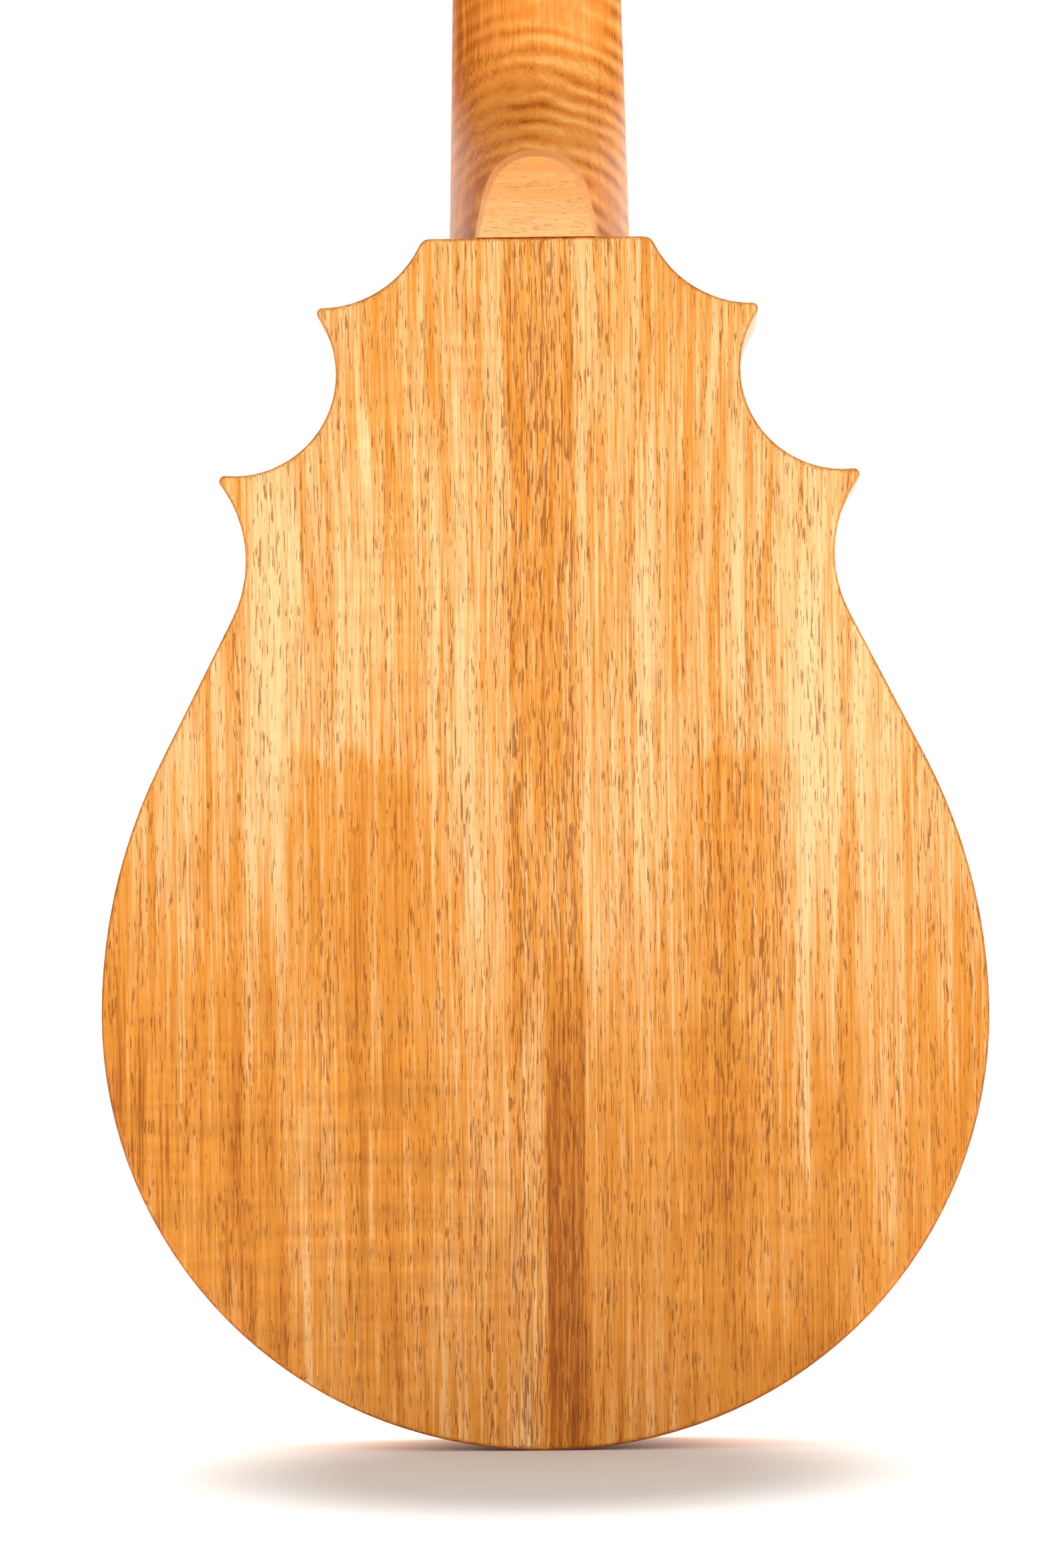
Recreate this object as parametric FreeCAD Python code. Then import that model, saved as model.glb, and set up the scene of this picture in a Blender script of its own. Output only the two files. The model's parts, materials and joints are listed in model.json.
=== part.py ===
import FreeCAD, Part
import math
import os
from FreeCAD import Placement, Rotation, Vector

# A flat-top mandolin with two pointed horns a side, standing on its tail: X across, +Y out of
# the soundboard, +Z up the body's centre line. Origin: the lowest point of the rim, mid depth.
# Millimetres and degrees throughout.

# ---- body outline, one half -------------------------------------------------------------
BODY_LENGTH = 295.0
BODY_DEPTH = 50.0
TAIL_RADIUS = 113.7
TAIL_TURN = 18.0  # outward normal, turned from straight down, where each arc ends
BOUT_RADIUS = 105.3
BOUT_TURN = 90.0
FLANK_RADIUS = 136.7
WAIST_RADIUS = 31.4
WAIST_END_TURN = 133.2  # the same, to the inward side, where the waist's arc ends on the lower horn
LOWER_HORN_X = 80.3
LOWER_HORN_DROP = 56.6  # below the neck end of the body
UPPER_HORN_X = 55.5
UPPER_HORN_DROP = 16.4
HORN_SCALLOP_RADIUS = 24.7
SHOULDER_X = 27.9
SHOULDER_SCALLOP_RADIUS = 26.6
HORN_TIP_RADIUS = 1.5
SHOULDER_TIP_RADIUS = 3.0

# ---- plates, ribs and what is glued inside ----------------------------------------------
BACK_THICKNESS = 2.6
TOP_THICKNESS = 2.8
EDGE_ROUNDING = 1.4
RIB_THICKNESS = 2.2
LINING_WIDTH = 4.5
LINING_HEIGHT = 7.0
NECK_BLOCK_HALF_WIDTH = 24.0
NECK_BLOCK_LENGTH = 30.0
TAIL_BLOCK_HALF_WIDTH = 26.0
TAIL_BLOCK_LENGTH = 16.0
HORN_BLOCK_REACH = 15.0
SEAM_STRIP_WIDTH = 14.0
SEAM_STRIP_THICKNESS = 1.8
BRACE_REACH = 150.0  # half a bar's length before it is trimmed to the rim
BRACE_SHOULDER = 0.45  # share of a bar's height where its sides start to lean in
BRACE_RIDGE = 0.35  # the ridge's share of a bar's width
BRACE_WIDTH = 6.5
BACK_BRACE_HEIGHT = 10.0
BACK_BRACE_Z = (62.0, 132.0, 212.0)
TOP_BRACE_HEIGHT = 9.0
TOP_CROSS_BRACE_DROP = 62.0  # below the neck end, under the end of the fretboard
X_BRACE_CENTRE_Z = 158.0
X_BRACE_HALF_ANGLE = 40.0
SOUND_HOLE_RADIUS = 24.0
SOUND_HOLE_DROP = 99.5
ROSETTE_INNER_RADIUS = 25.6
ROSETTE_OUTER_RADIUS = 30.6
ROSETTE_DEPTH = 1.2

# ---- neck, fretboard and headstock ------------------------------------------------------
SCALE_LENGTH = 350.0
FRET_COUNT = 20
JOINT_FRET = 12  # the fret at the neck end of the body
NECK_ANGLE = 2.5
NUT_WIDTH = 37.5
JOINT_WIDTH = 45.4
NECK_THICKNESS = 15.0
HEEL_HALF_DEPTH = 65.0  # half height of the oval that the heel's section is cut from
HEEL_SLOPE = 0.6  # how fast that shrinks up the heel
HEEL_TURN = 15.0  # where the heel starts to curve up into the shaft
HEEL_LENGTH = 55.0
HEEL_CAP_THICKNESS = 2.6
NECK_SQUARING = 0.72  # how square its section gets at the headstock; 0 would leave it an oval
NECK_STATIONS = 40  # sections that the neck's back is drawn through
SECTION_STEPS = 24  # points to each of them
SHAFT_OVERRUN = 6.0  # past the body joint, before it is trimmed there
SHAFT_INTO_HEAD = 3.0  # past the end of the curve, inside the headstock
SKIN_STEP = 0.02  # between the neck's skin and the headstock's back face
FRETBOARD_THICKNESS = 5.0
FRETBOARD_END = 3.5  # past the last fret
WEDGE_START = -5.0  # up the neck from the body joint
FRET_WIDTH = 2.0
FRET_HEIGHT = 1.1
FRET_TANG_WIDTH = 0.6
FRET_TANG_DEPTH = 1.8
MARKER_FRETS = (3, 5, 7, 10, 12, 15, 17)
MARKER_RADIUS = 2.6
MARKER_DEPTH = 1.0
MARKER_PAIR_X = 8.0
SIDE_MARKER_RADIUS = 1.0
SIDE_MARKER_DEPTH = 2.0
NUT_THICKNESS = 4.5
NUT_ROUNDING = 1.6
NUT_CROWN = 0.25  # bone standing above the middle of each string
TRUSS_ROD_RADIUS = 2.5
TRUSS_ROD_DEPTH = 4.6  # its centre, below the fretboard
TRUSS_ROD_START = 14.0  # from the body
TRUSS_NUT_RADIUS = 3.4
TRUSS_NUT_LENGTH = 9.0
TRUSS_NUT_GAP = 0.1
TRUSS_POCKET_ROOM = 1.0  # beside the nut, for a socket key
TRUSS_POCKET_END_ROOM = 5.0
HEAD_ANGLE = 13.0
HEAD_THICKNESS = 13.0
HEAD_LENGTH = 130.0
HEAD_HALF_WIDTH = 32.0
HEAD_TOP_HALF_WIDTH = 13.0
HEAD_FLARE_LENGTH = 20.0
HEAD_FLARE_HALF_WIDTH = 30.5
HEAD_FLARE_POWER = 2.2  # how late the headstock widens
HEAD_CURVE_BEFORE = 14.0  # before the nut, where the neck's back starts to turn into the headstock's
HEAD_CURVE_PAST = 13.0  # past the nut, where it ends
HEAD_HORN_DROP = 17.0
HEAD_SCALLOP_RADIUS = 24.0
HEADPLATE_THICKNESS = 2.0
HEADPLATE_CHAMFER = 0.5
COVER_THICKNESS = 1.6
COVER_HALF_WIDTH = 8.5
COVER_LENGTH = 31.0
COVER_START = 0.4  # from the back of the string nut
COVER_SCREW_INSET = 3.8  # from the cover's foot and from its crown
COVER_SCREW_X = 5.4
NECK_BOLT_RADIUS = 2.5
NECK_BOLT_REACH = 17.0  # into the heel
NECK_BOLT_DEPTHS = (19.0, 33.0)  # below the fretboard side of the body
BOLT_HEAD_RADIUS = 4.6
BOLT_HEAD_HEIGHT = 3.5

# ---- tuning machines: one post, gear, worm and button to each string ---------------------
POST_X = 20.5
POST_Z = (33.0, 56.0, 79.0, 102.0)  # up the headstock, from the nut
POST_RADIUS = 3.0
POST_TOP = 13.5
POST_HOLE_RADIUS = 0.8
BUSHING_RADIUS = 4.2
BUSHING_FLANGE_RADIUS = 5.4
BUSHING_FLANGE_HEIGHT = 1.0
BUSHING_LENGTH = 7.0
TUNER_PLATE_THICKNESS = 1.1
TUNER_PLATE_INNER_X = 12.6
TUNER_PLATE_OUTER_X = 28.6
TUNER_PLATE_Z = (19.5, 109.5)
GEAR_TEETH = 14
WORM_PITCH = 2.2
GEAR_TIP_RADIUS = 5.25
GEAR_ROOT_RADIUS = 4.2
GEAR_TIP_WIDTH = 0.5
GEAR_ROOT_WIDTH = 1.15
GEAR_WIDTH = 2.6
WORM_RADIUS = 2.6
WORM_CORE_RADIUS = 1.55
WORM_CREST = 0.45
THREAD_SUNK = 0.2  # of the thread's foot, in the core
WORM_ROOT = 1.05
WORM_TURNS = 3
WORM_TO_POST = 7.1
WORM_HEIGHT = 3.9  # its axis, behind the headstock's wood
SHAFT_RADIUS = 1.25
BRACKET_THICKNESS = 1.0
BRACKET_HALF_WIDTH = 2.6
BRACKET_ROUNDING = 1.6
BRACKET_INSET = 1.2  # from the plate's inner edge
BRACKET_OUTER_INSET = 0.6
TUNER_PLATE_ROUNDING = 2.5
POST_CROWN_ROUNDING = 0.8
GEAR_SCREW_RADIUS = 1.0
GEAR_SCREW_LENGTH = 6.6
GEAR_SCREW_HEAD_RADIUS = 2.1
GEAR_SCREW_HEAD_HEIGHT = 1.3
SLOT_WIDTH = 0.7
SLOT_DEPTH = 0.6
WORM_END = 0.6  # plain core past each end of the thread
SHAFT_INTO_BUTTON = 6.0
COIL_GAP = 0.01  # between neighbouring turns of string, and under them
BUTTON_START_X = 36.5
BUTTON_HALF_LENGTH = 7.0
BUTTON_HALF_HEIGHT = 5.0
BUTTON_THICKNESS = 5.6
BUTTON_ROUNDING = 1.9
BUTTON_COLLAR_RADIUS = 2.2
BUTTON_OVER_COLLAR = 0.6
BUTTON_COLLAR_LENGTH = 2.5
SCREW_RADIUS = 1.1
SCREW_HEAD_RADIUS = 2.0
SCREW_DOME = 1.35  # its head's ball, as a multiple of the head's radius
PLATE_SCREW_INSET = 2.75  # from the tuner plate's inner side and its ends
PLATE_SCREW_PAST_POST = 7.4
SCREW_HEAD_HEIGHT = 1.0
SCREW_LENGTH = 8.0

# ---- strings, bridge and tailpiece --------------------------------------------------------
STRING_RADII = (0.5, 0.33, 0.19, 0.14)  # G, D, A and E courses, from +X to -X
NUT_COURSE_SPACING = 9.3
NUT_PAIR_GAP = 2.6
BRIDGE_COURSE_SPACING = 13.2
BRIDGE_PAIR_GAP = 2.9
STRING_OVER_FIRST_FRET = 0.35
PLAIN_RADIUS = 0.3  # thicker strings are wound
STRING_AT_BRIDGE = 3.05  # above the plane of the frets
WINDING_TURNS = 4
WINDING_START = 4.6  # above the headstock's wood
BRIDGE_HALF_LENGTH = 42.0
BRIDGE_WIDTH = 11.0
BRIDGE_FOOT_HEIGHT = 5.0
BRIDGE_END_HEIGHT = 2.5
BRIDGE_FLAT_PAST_STUD = 6.0
BRIDGE_ARCH_RADIUS = 60.0
BRIDGE_ARCH_RISE = 1.8
BRIDGE_ROUNDING = 1.0
STUD_X = 28.0
STUD_RADIUS = 1.5
STUD_SINK = 3.5
STUD_REACH = 7.8  # above the foot
WHEEL_RADIUS = 4.8
WHEEL_THICKNESS = 2.4
WHEEL_LIFT = 2.0  # above the foot, at rest
WHEEL_NOTCHES = 16
WHEEL_NOTCH_RADIUS = 0.45
SADDLE_HALF_LENGTH = 33.0
SADDLE_BASE_WIDTH = 6.0
SADDLE_CROWN_WIDTH = 2.6
SADDLE_CROWN = 0.25  # wood standing above the middle of each string
SADDLE_KNEE = 0.35  # share of the saddle's height where it starts to narrow
SADDLE_ROUNDING = 0.5
TAIL_PLATE_THICKNESS = 1.2
TAIL_PLATE_HALF_WIDTH = 17.0
TAIL_SIDE_REACH = 37.0  # down the tail, from the soundboard
TAIL_DECK_HALF_WIDTH = 22.0
TAIL_DECK_LENGTH = 42.0
TAIL_DECK_HEIGHT = 5.4  # its underside, above the soundboard
HOOK_Z = 34.0
HOOK_STAGGER = 7.0
HOOK_SPREAD = 0.9  # the strings' spacing at the hooks, as a share of that at the bridge
HOOK_RADIUS = 0.9
HOOK_HEIGHT = 2.6
TAIL_COVER_WALL = 1.0
TAIL_COVER_LENGTH = 50.0
TAIL_COVER_HEIGHT = 7.6  # its inside, above the deck
TAIL_COVER_LIP = 2.4
TAIL_COVER_START = 0.4  # from the lowest point of the rim
TAIL_COVER_ROUNDING = 3.0
TAIL_PLATE_ROUNDING = 6.0
TAIL_SCREW_ROW = 12.0  # from the soundboard to the upper pair
TAIL_SCREW_DROP = 15.0  # from that pair to the lower screw
TAIL_SCREW_X = 11.0
TAIL_SCREW_RADIUS = 1.6
TAIL_SCREW_HEAD_RADIUS = 3.0
TAIL_SCREW_HEAD_HEIGHT = 1.6
TAIL_SCREW_LENGTH = 13.0

# ---- clearances ---------------------------------------------------------------------------
RUNNING = 0.05  # round a turning shaft
GROOVE = 0.04  # round a string in its slot
SLIDING = 0.3  # beside a sliding part
TANG_FIT = 0.02  # round a fret's tang in its slot
TINY = 0.001
FAR = 500.0  # past anything in the instrument, for the ends of a cutting box

X_AXIS, Y_AXIS, Z_AXIS = Vector(1, 0, 0), Vector(0, 1, 0), Vector(0, 0, 1)
BACK_FACE = -BODY_DEPTH / 2
TOP_FACE = BODY_DEPTH / 2
BACK_INSIDE = BACK_FACE + BACK_THICKNESS
TOP_INSIDE = TOP_FACE - TOP_THICKNESS
SEMITONES = 12  # frets to an octave, which halves the string
NUT_Z = SCALE_LENGTH * (1 - 2 ** (-JOINT_FRET / SEMITONES))
LINING_INSET = RIB_THICKNESS + LINING_WIDTH
LEFT, RIGHT = -1, 1

NECK_FRAME = Placement(Vector(0, TOP_FACE, BODY_LENGTH), Rotation(X_AXIS, NECK_ANGLE))
HEAD_FRAME = NECK_FRAME * Placement(Vector(0, 0, NUT_Z + NUT_THICKNESS), Rotation(X_AXIS, HEAD_ANGLE))


# ---- small helpers --------------------------------------------------------------------------
def at(x, z, y=0.0):
    return Vector(x, y, z)


def box(x0, x1, y0, y1, z0, z1):
    return Part.makeBox(x1 - x0, y1 - y0, z1 - z0, Vector(x0, y0, z0))


def rod(radius, length, start, direction):
    return Part.makeCylinder(radius, length, start, direction)


def mirrored(shape):
    return shape.mirror(Vector(0, 0, 0), X_AXIS)


def placed(shape, frame):
    moved = shape.copy()
    moved.Placement = frame.multiply(moved.Placement)
    return moved


def fused(shapes):
    return shapes[0].multiFuse(shapes[1:]).removeSplitter()


def slab_of(edges, y0, y1):
    """A flat piece with the outline of the edges, which lie in the plane y = 0."""
    face = Part.Face(Part.Wire(Part.__sortEdges__(edges)))
    face.translate(Vector(0, y0, 0))
    return face.extrude(Vector(0, y1 - y0, 0))


def circle_meeting(centre_a, radius_a, centre_b, radius_b, near):
    """The point nearest to near where two circles in the XZ plane cross."""
    across = centre_b - centre_a
    gap = across.Length
    along = (gap * gap + radius_a * radius_a - radius_b * radius_b) / (2 * gap)
    side = math.sqrt(radius_a * radius_a - along * along)
    foot = centre_a + across * (along / gap)
    normal = Vector(-across.z, 0, across.x) * (side / gap)
    return min((foot + normal, foot - normal), key=lambda p: (p - near).Length)


def centre_through(start, end, radius):
    """Centre of the arc through two points that bulges to the left of start to end."""
    chord = end - start
    height = math.sqrt(radius * radius - chord.Length ** 2 / 4)
    normal = Vector(chord.z, 0, -chord.x).normalize()
    return (start + end) * 0.5 + normal * height


def arc(centre, start, end):
    """The shorter arc from start to end about centre."""
    radius = (start - centre).Length
    middle = ((start - centre) + (end - centre)).normalize() * radius + centre
    return Part.Arc(start, middle, end).toShape()


def outward(turn):
    angle = math.radians(turn)
    return Vector(math.sin(angle), 0, -math.cos(angle))


# ---- body outline ---------------------------------------------------------------------------
class Outline:
    """The body's right half outline: circles and corners that any inset of it is drawn from."""

    def __init__(self):
        self.tail = at(0, TAIL_RADIUS)
        self.bout = self.tail + outward(TAIL_TURN) * (TAIL_RADIUS - BOUT_RADIUS)
        self.flank = self.bout + outward(BOUT_TURN) * (BOUT_RADIUS - FLANK_RADIUS)
        self.shoulder = at(SHOULDER_X, BODY_LENGTH)
        self.upper_horn = at(UPPER_HORN_X, BODY_LENGTH - UPPER_HORN_DROP)
        self.lower_horn = at(LOWER_HORN_X, BODY_LENGTH - LOWER_HORN_DROP)
        self.upper_scallop = centre_through(self.upper_horn, self.shoulder, SHOULDER_SCALLOP_RADIUS)
        self.lower_scallop = centre_through(self.lower_horn, self.upper_horn, HORN_SCALLOP_RADIUS)
        self.waist = self.lower_horn - outward(-WAIST_END_TURN) * WAIST_RADIUS
        # the straight flank touches the flank arc on one side and the waist arc on the other
        across = self.waist - self.flank
        heading = math.degrees(math.atan2(across.x, -across.z))
        lean = math.degrees(math.acos((FLANK_RADIUS + WAIST_RADIUS) / across.Length))
        self.flank_side = outward(heading - lean)

    def points(self, inset):
        """Where each arc or line of the outline ends, drawn inset from the real one."""
        return [
            at(0, inset),
            self.tail + outward(TAIL_TURN) * (TAIL_RADIUS - inset),
            self.bout + outward(BOUT_TURN) * (BOUT_RADIUS - inset),
            self.flank + self.flank_side * (FLANK_RADIUS - inset),
            self.waist - self.flank_side * (WAIST_RADIUS + inset),
            circle_meeting(self.waist, WAIST_RADIUS + inset, self.lower_scallop,
                           HORN_SCALLOP_RADIUS + inset, self.lower_horn),
            circle_meeting(self.lower_scallop, HORN_SCALLOP_RADIUS + inset, self.upper_scallop,
                           SHOULDER_SCALLOP_RADIUS + inset, self.upper_horn),
            self.neck_corner(inset),
            at(0, BODY_LENGTH - inset),
        ]

    def neck_corner(self, inset):
        rise = BODY_LENGTH - inset - self.upper_scallop.z
        reach = math.sqrt((SHOULDER_SCALLOP_RADIUS + inset) ** 2 - rise ** 2)
        return at(self.upper_scallop.x - reach, BODY_LENGTH - inset)

    def edges(self, inset, first=0, last=8):
        """The outline's edges between two of its points, numbered from the tail."""
        p = self.points(inset)
        made = [
            lambda: arc(self.tail, p[0], p[1]),
            lambda: arc(self.bout, p[1], p[2]),
            lambda: arc(self.flank, p[2], p[3]),
            lambda: Part.makeLine(p[3], p[4]),
            lambda: arc(self.waist, p[4], p[5]),
            lambda: arc(self.lower_scallop, p[5], p[6]),
            lambda: arc(self.upper_scallop, p[6], p[7]),
            lambda: Part.makeLine(p[7], p[8]),
        ]
        return [draw() for draw in made[first:last]]

    def half(self, inset, y0, y1):
        centre_line = Part.makeLine(at(0, inset), at(0, BODY_LENGTH - inset))
        return slab_of(self.edges(inset) + [centre_line], y0, y1)

    def whole(self, inset, y0, y1):
        right = self.half(inset, y0, y1)
        return fused([right, mirrored(right)])

    def strip(self, outer, inner, first, last, y0, y1):
        """A bent strip between two insets, mitred where it ends at a corner."""
        a, b = self.points(outer), self.points(inner)
        ends = [Part.makeLine(a[first], b[first]), Part.makeLine(a[last], b[last])]
        return slab_of(self.edges(outer, first, last) + self.edges(inner, first, last) + ends, y0, y1)


OUTLINE = Outline()
TAIL_POINT, LOWER_HORN, UPPER_HORN, NECK_CORNER, NECK_CENTRE = 0, 5, 6, 7, 8


def rounded_half(y0, y1):
    """The right half of the body between two depths, its horn tips rounded."""
    half = OUTLINE.half(0, y0, y1)
    tips = {5: HORN_TIP_RADIUS, 6: HORN_TIP_RADIUS, 7: SHOULDER_TIP_RADIUS}
    for number, radius in tips.items():
        point = OUTLINE.points(0)[number]
        upright = [e for e in half.Edges if is_upright_at(e, point)]
        half = half.makeFillet(radius, upright)
    return half


def is_upright_at(edge, point):
    return all(abs(v.X - point.x) < TINY and abs(v.Z - point.z) < TINY for v in edge.Vertexes)


def plate_half(inner_y, outer_y):
    """One book-matched half of the back or the soundboard, its outer edge rounded over."""
    half = rounded_half(min(inner_y, outer_y), max(inner_y, outer_y))
    rim = [
        e for e in half.Edges
        if all(abs(v.Y - outer_y) < TINY for v in e.Vertexes) and e.BoundBox.XMax > TINY
    ]
    return half.makeFillet(EDGE_ROUNDING, rim)


# ---- body ------------------------------------------------------------------------------------
SOUND_HOLE = at(0, BODY_LENGTH - SOUND_HOLE_DROP)


def sound_hole_disc(radius, y0, y1):
    return rod(radius, y1 - y0, SOUND_HOLE + Vector(0, y0, 0), Y_AXIS)


def rosette():
    ring = sound_hole_disc(ROSETTE_OUTER_RADIUS, TOP_FACE - ROSETTE_DEPTH, TOP_FACE)
    return ring.cut(sound_hole_disc(ROSETTE_INNER_RADIUS, TOP_FACE - ROSETTE_DEPTH, TOP_FACE))


def make_plates(parts):
    back = plate_half(BACK_INSIDE, BACK_FACE)
    top = plate_half(TOP_INSIDE, TOP_FACE)
    top = top.cut(sound_hole_disc(SOUND_HOLE_RADIUS, TOP_INSIDE, TOP_FACE)).cut(rosette())
    parts["back_right"], parts["back_left"] = back, mirrored(back)
    parts["top_right"], parts["top_left"] = top, mirrored(top)
    parts["rosette"] = rosette()


def make_ribs(parts):
    blank = rounded_half(BACK_INSIDE, TOP_INSIDE)
    spans = {"bout": (TAIL_POINT, LOWER_HORN), "horn": (LOWER_HORN, UPPER_HORN),
             "shoulder": (UPPER_HORN, NECK_CORNER)}
    for name, (first, last) in spans.items():
        rib = OUTLINE.strip(0, RIB_THICKNESS, first, last, BACK_INSIDE, TOP_INSIDE).common(blank)
        parts[f"rib_{name}_right"], parts[f"rib_{name}_left"] = rib, mirrored(rib)
    end = OUTLINE.strip(0, RIB_THICKNESS, NECK_CORNER, NECK_CENTRE, BACK_INSIDE, TOP_INSIDE)
    end = end.common(blank)
    parts["rib_neck_end"] = fused([end, mirrored(end)]).cut(neck_bolt_holes())


def make_blocks(parts):
    inside = OUTLINE.whole(RIB_THICKNESS, BACK_INSIDE, TOP_INSIDE)
    neck_end = BODY_LENGTH - RIB_THICKNESS
    neck_space = box(-NECK_BLOCK_HALF_WIDTH, NECK_BLOCK_HALF_WIDTH, BACK_INSIDE, TOP_INSIDE,
                     neck_end - NECK_BLOCK_LENGTH, neck_end)
    tail_space = box(-TAIL_BLOCK_HALF_WIDTH, TAIL_BLOCK_HALF_WIDTH, BACK_INSIDE, TOP_INSIDE,
                     0, RIB_THICKNESS + TAIL_BLOCK_LENGTH)
    neck_block = inside.common(neck_space)
    tail_block = inside.common(tail_space)
    horns = []
    for number in (LOWER_HORN, UPPER_HORN):
        tip = OUTLINE.points(0)[number]
        reach = rod(HORN_BLOCK_REACH, BODY_DEPTH, tip + Vector(0, BACK_FACE, 0), Y_AXIS)
        block = inside.common(reach)
        horns += [block, mirrored(block)]
    parts["neck_block"] = neck_block.cut(neck_bolt_holes())
    parts["tail_block"] = tail_block.cut(Part.makeCompound(tail_screws()))
    parts["horn_blocks"] = Part.makeCompound(horns)
    linings = []
    for y0, y1 in ((BACK_INSIDE, BACK_INSIDE + LINING_HEIGHT), (TOP_INSIDE - LINING_HEIGHT, TOP_INSIDE)):
        ring = OUTLINE.whole(RIB_THICKNESS, y0, y1).cut(OUTLINE.whole(LINING_INSET, y0, y1))
        for block in [neck_block, tail_block] + horns:
            ring = ring.cut(block)
        linings += ring.Solids
    parts["linings"] = Part.makeCompound(linings)


def brace(centre_z, angle, y0, y1):
    """A straight bar across the plate, its free edge narrowed to a ridge."""
    half = BRACE_WIDTH / 2
    low, high = (y0, y1) if y0 < y1 else (y1, y0)
    flat, ridge = (low, high) if y0 < y1 else (high, low)
    shoulder = flat + (ridge - flat) * BRACE_SHOULDER
    narrow = half * BRACE_RIDGE
    ring = [Vector(-BRACE_REACH, flat, -half), Vector(-BRACE_REACH, flat, half),
            Vector(-BRACE_REACH, shoulder, half), Vector(-BRACE_REACH, ridge, narrow),
            Vector(-BRACE_REACH, ridge, -narrow), Vector(-BRACE_REACH, shoulder, -half)]
    bar = Part.Face(Part.makePolygon(ring + ring[:1])).extrude(Vector(2 * BRACE_REACH, 0, 0))
    bar.rotate(Vector(0, 0, 0), Y_AXIS, angle)
    bar.translate(Vector(0, 0, centre_z))
    return bar


def make_braces(parts):
    inside = OUTLINE.whole(LINING_INSET, BACK_INSIDE, TOP_INSIDE).cut(parts["horn_blocks"])
    strip_half = SEAM_STRIP_WIDTH / 2
    strip = box(-strip_half, strip_half, BACK_INSIDE, BACK_INSIDE + SEAM_STRIP_THICKNESS,
                RIB_THICKNESS + TAIL_BLOCK_LENGTH, BODY_LENGTH - RIB_THICKNESS - NECK_BLOCK_LENGTH)
    bars = [
        brace(z, 0, BACK_INSIDE, BACK_INSIDE + BACK_BRACE_HEIGHT).common(inside).cut(strip)
        for z in BACK_BRACE_Z
    ]
    parts["back_seam_strip"] = strip
    parts["back_braces"] = Part.makeCompound(bars)

    # the crossing pair is halved: one bar is notched from above and the other from below
    deep = TOP_INSIDE - TOP_BRACE_HEIGHT
    one = brace(X_BRACE_CENTRE_Z, X_BRACE_HALF_ANGLE, TOP_INSIDE, deep)
    other = brace(X_BRACE_CENTRE_Z, -X_BRACE_HALF_ANGLE, TOP_INSIDE, deep)
    crossing = one.common(other)
    halfway = (TOP_INSIDE + deep) / 2
    upper = box(-FAR, FAR, halfway, TOP_FACE, -FAR, FAR)
    across = brace(BODY_LENGTH - TOP_CROSS_BRACE_DROP, 0, TOP_INSIDE, deep).common(inside)
    clear = sound_hole_disc(ROSETTE_OUTER_RADIUS + BRACE_WIDTH / 2, BACK_FACE, TOP_FACE)
    below_cross = box(-FAR, FAR, BACK_FACE, TOP_FACE, 0,
                      BODY_LENGTH - TOP_CROSS_BRACE_DROP - BRACE_WIDTH)
    one = one.cut(crossing.common(upper)).common(inside).common(below_cross).cut(clear)
    other = other.cut(crossing.cut(upper)).common(inside).common(below_cross).cut(clear)
    parts["top_braces"] = Part.makeCompound(one.Solids + other.Solids + [across])


# ---- neck ------------------------------------------------------------------------------------
def neck_half_width(z):
    """Half the fretboard's width, at a height above the body joint."""
    return (JOINT_WIDTH + (NUT_WIDTH - JOINT_WIDTH) * z / NUT_Z) / 2


def eased(share):
    share = min(1.0, max(0.0, share))
    return share * share * (3 - 2 * share)


def flare_half_width(z):
    """Half the headstock's width where it widens, at a height above its foot."""
    share = max(0.0, z / HEAD_FLARE_LENGTH)
    return NUT_WIDTH / 2 + (HEAD_FLARE_HALF_WIDTH - NUT_WIDTH / 2) * share ** HEAD_FLARE_POWER


def neck_section(z):
    """Points round the neck's back: half an oval, squarer where it meets the headstock."""
    past_nut = z - NUT_Z - NUT_THICKNESS
    half = neck_half_width(min(max(z, 0), NUT_Z)) if past_nut < 0 else flare_half_width(past_nut)
    heel = HEEL_HALF_DEPTH - NECK_THICKNESS - HEEL_SLOPE * min(z, HEEL_LENGTH)
    deep = NECK_THICKNESS + heel * (1 - eased((z - HEEL_TURN) / (HEEL_LENGTH - HEEL_TURN)))
    head_back = HEAD_THICKNESS / math.cos(math.radians(HEAD_ANGLE))
    head_back += past_nut * math.tan(math.radians(HEAD_ANGLE)) - SKIN_STEP
    into_head = eased((past_nut + HEAD_CURVE_BEFORE) / (HEAD_CURVE_BEFORE + HEAD_CURVE_PAST))
    deep += (head_back - deep) * into_head
    power = 1 - NECK_SQUARING * into_head
    ring = []
    for i in range(SECTION_STEPS + 1):
        turn = math.pi * i / SECTION_STEPS
        c, s = math.cos(turn), max(0.0, math.sin(turn))
        across = 0.0 if 2 * i == SECTION_STEPS else half * math.copysign(abs(c) ** power, c)
        down = 0.0 if i in (0, SECTION_STEPS) else deep * s ** power
        ring.append(Vector(across, -down, z))
    return ring


def fret_distance(number):
    return SCALE_LENGTH * (1 - 2 ** (-number / SEMITONES))


def fret_z(number):
    return NUT_Z - fret_distance(number)


FRETBOARD_FOOT = fret_z(FRET_COUNT) - FRETBOARD_END


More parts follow.
